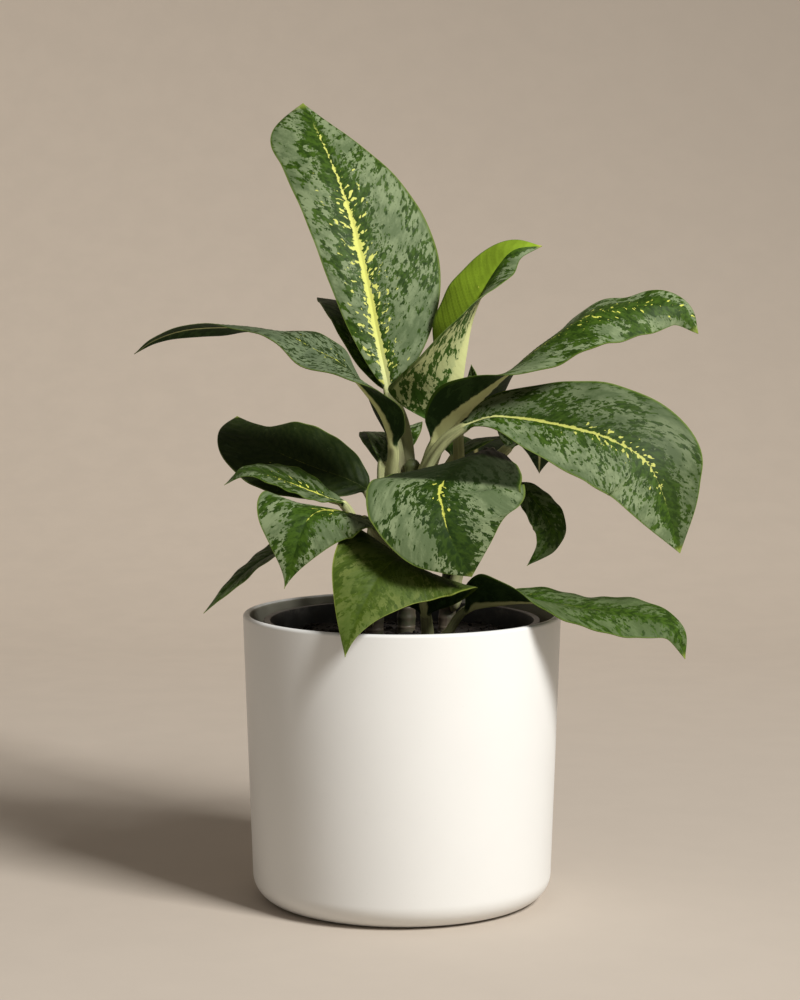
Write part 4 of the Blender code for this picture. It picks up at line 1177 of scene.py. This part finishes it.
frontLeaf = {
    "foot": ("soil", (12, -19), 0),
    "stalk": [(12, -20, 128)],
    "rib": [(11, -25, 138), (8, -32, 151), (4, -40, 162), (-2, -50, 167), (-10, -61, 161),
            (-17, -72, 149), (-22, -81, 138), (-25, -87, 128)],
    "face": [(0.0, (0.3, 0.8, 0.4)), (0.5, (0.45, -0.2, 0.87)), (1.0, (-0.3, -0.8, 0.6))],
    "half": (34, 28), "peak": (0.30, 0.34), "taper": (0.9, 0.5),
    "foldLeft": (12, 4, 4), "foldRight": (12, 2, 4), "curl": (-8, -8),
    "wave": (0.8, 2.0, 0.1),
    "ruffle": 0.35, "channel": 0.55, "sheathRise": 6.0, "wing": 0.2,
    "look": {**plainLook, "seed": 13, "fleckShare": 0.495, "darkZone": (0.3, 0.2, 0.1),
             "margin": (0.2, 0.24, 0.04), "dark": (0.036, 0.064, 0.004), "mid": (0.058, 0.095, 0.008),
             "silverDull": (0.07, 0.108, 0.017), "silverLight": (0.11, 0.145, 0.03),
             "baseShade": (0.5, 0.3, 0.5), "ribWidth": 0.0, "ribJag": 0.6, "flecks": -0.2},
}
makeLeaf("leaf_front", frontLeaf)

rightLowLeaf = {
    "foot": ("soil", (20, -15), 0),
    "stalk": [(21, -17, 128)],
    "rib": [(29, -22, 140), (45, -27, 144), (63, -30, 145), (86, -33, 142), (109, -35, 139),
            (124, -36, 133), (130, -35, 119)],
    "face": [(0.0, (-0.2, -0.1, 1.0)), (0.5, (0.0, -0.3, 1.0)), (1.0, (0.35, -0.6, 0.75))],
    "half": (19, 25), "peak": (0.45, 0.24), "taper": (-0.3, 0.2),
    "foldLeft": (15, -2, 0), "foldRight": (85, 4, 0), "curl": (-8, -8),
    "wave": (1.0, 2.5, 0.6),
    "ruffle": 0.35, "channel": 0.55, "sheathRise": 6.0, "wing": 0.2,
    "look": {**plainLook, "seed": 14, "fleckShare": 0.48, "ribWidth": 0.0, "ribJag": 0.6, "flecks": -0.2,
             "silverDull": (0.065, 0.1, 0.032), "silverLight": (0.105, 0.15, 0.058)},
}
makeLeaf("leaf_right_low", rightLowLeaf)

darkMiddleLeaf = {
    "foot": ("cane_right", 158, 150),
    "stalk": [(17, 17, 192)],
    "rib": [(25, 24, 207), (30, 34, 213), (35, 46, 214), (37, 65, 206), (39, 82, 191)],
    "face": [(0.0, (-0.1, -0.4, 0.9)), (0.5, (0.0, -0.2, 0.95)), (1.0, (0.2, 0.4, 0.8))],
    "half": (20, 20), "peak": (0.42, 0.42), "taper": (0.6, 0.6),
    "foldLeft": (20, 10, 6), "foldRight": (20, 10, 6), "curl": (-10, -10),
    "wave": (1.0, 2.0, 0.4),
    "ruffle": 0.35, "channel": 0.55, "sheathRise": 6.0, "wing": 0.2,
    "look": {**plainLook, "seed": 15, "fleckShare": 0.5, "ribWidth": 0.0, "ribJag": 0.6, "flecks": -0.2,
             "silverDull": (0.065, 0.1, 0.032), "silverLight": (0.105, 0.15, 0.058)},
}
makeLeaf("leaf_dark_middle", darkMiddleLeaf)

rightDroopingLeaf = {
    "foot": ("cane_right", 136, 296),
    "stalk": [(36, -6, 178), (44, -6, 190)],
    "rib": [(50, -5, 195), (57, -8, 194), (64, -12, 187), (69, -15, 178), (67, -17, 169),
            (58, -18, 160)],
    "face": [(0.0, (0.0, -0.6, 0.8)), (0.5, (0.5, -0.85, 0.3)), (1.0, (0.3, -0.9, -0.3))],
    "half": (9, 10), "peak": (0.45, 0.50), "taper": (0.6, 0.6),
    "foldLeft": (12, 8, 4), "foldRight": (12, 8, 4), "curl": (-10, -10),
    "wave": (0.6, 2.0, 0.2),
    "ruffle": 0.35, "channel": 0.55, "sheathRise": 6.0, "wing": 0.2,
    # painted shade: this leaf's silver is set darker, standing in for the shadow it hangs in
    "look": {**plainLook, "seed": 16, "fleckShare": 0.5, "ribWidth": 0.0, "ribJag": 0.6, "flecks": -0.2,
             "silverDull": (0.065, 0.1, 0.032), "silverLight": (0.105, 0.15, 0.058)},
}
makeLeaf("leaf_right_drooping", rightDroopingLeaf)

youngLeaf = {
    "foot": ("cane_right", 167, 98),
    "stalk": [(27, 15, 205)],
    "rib": [(27, 15, 221), (31, 17, 231), (34, 19, 240), (34, 20, 246), (33, 20, 252)],
    "face": [(0.0, (-0.7, -0.7, 0.2)), (0.5, (-0.7, -0.7, 0.2)), (1.0, (-0.7, -0.7, 0.2))],
    "half": (9, 9), "peak": (0.42, 0.42), "taper": (0.5, 0.5),
    "foldLeft": (30, 22, 12), "foldRight": (30, 22, 12), "curl": (-10, -10),
    "wave": (0.4, 2.0, 0.2),
    "ruffle": 0.35, "channel": 0.55, "sheathRise": 6.0, "wing": 0.2,
    "look": {**plainLook, "seed": 17, "fleckShare": 0.5, "ribWidth": 0.0, "ribJag": 0.6, "flecks": -0.2},
}
makeLeaf("leaf_young", youngLeaf)

backRightLeaf = {
    "foot": ("cane_right", 164, 45),
    "stalk": [(40, 13, 202)],
    "rib": [(50, 17, 212), (58, 30, 218), (64, 46, 217), (68, 64, 209), (69, 80, 195)],
    "face": [(0.0, (-0.2, -0.5, 0.8)), (0.5, (0.0, -0.1, 1.0)), (1.0, (0.2, 0.5, 0.8))],
    "half": (16, 17), "peak": (0.42, 0.42), "taper": (0.6, 0.6),
    "foldLeft": (20, 10, 6), "foldRight": (20, 10, 6), "curl": (-10, -10),
    "wave": (1.0, 2.0, 0.8),
    "ruffle": 0.35, "channel": 0.55, "sheathRise": 6.0, "wing": 0.2,
    "look": {**plainLook, "seed": 18, "fleckShare": 0.47, "ribWidth": 0.0, "ribJag": 0.6, "flecks": -0.2},
}
makeLeaf("leaf_back_right", backRightLeaf)
print("leaves made")
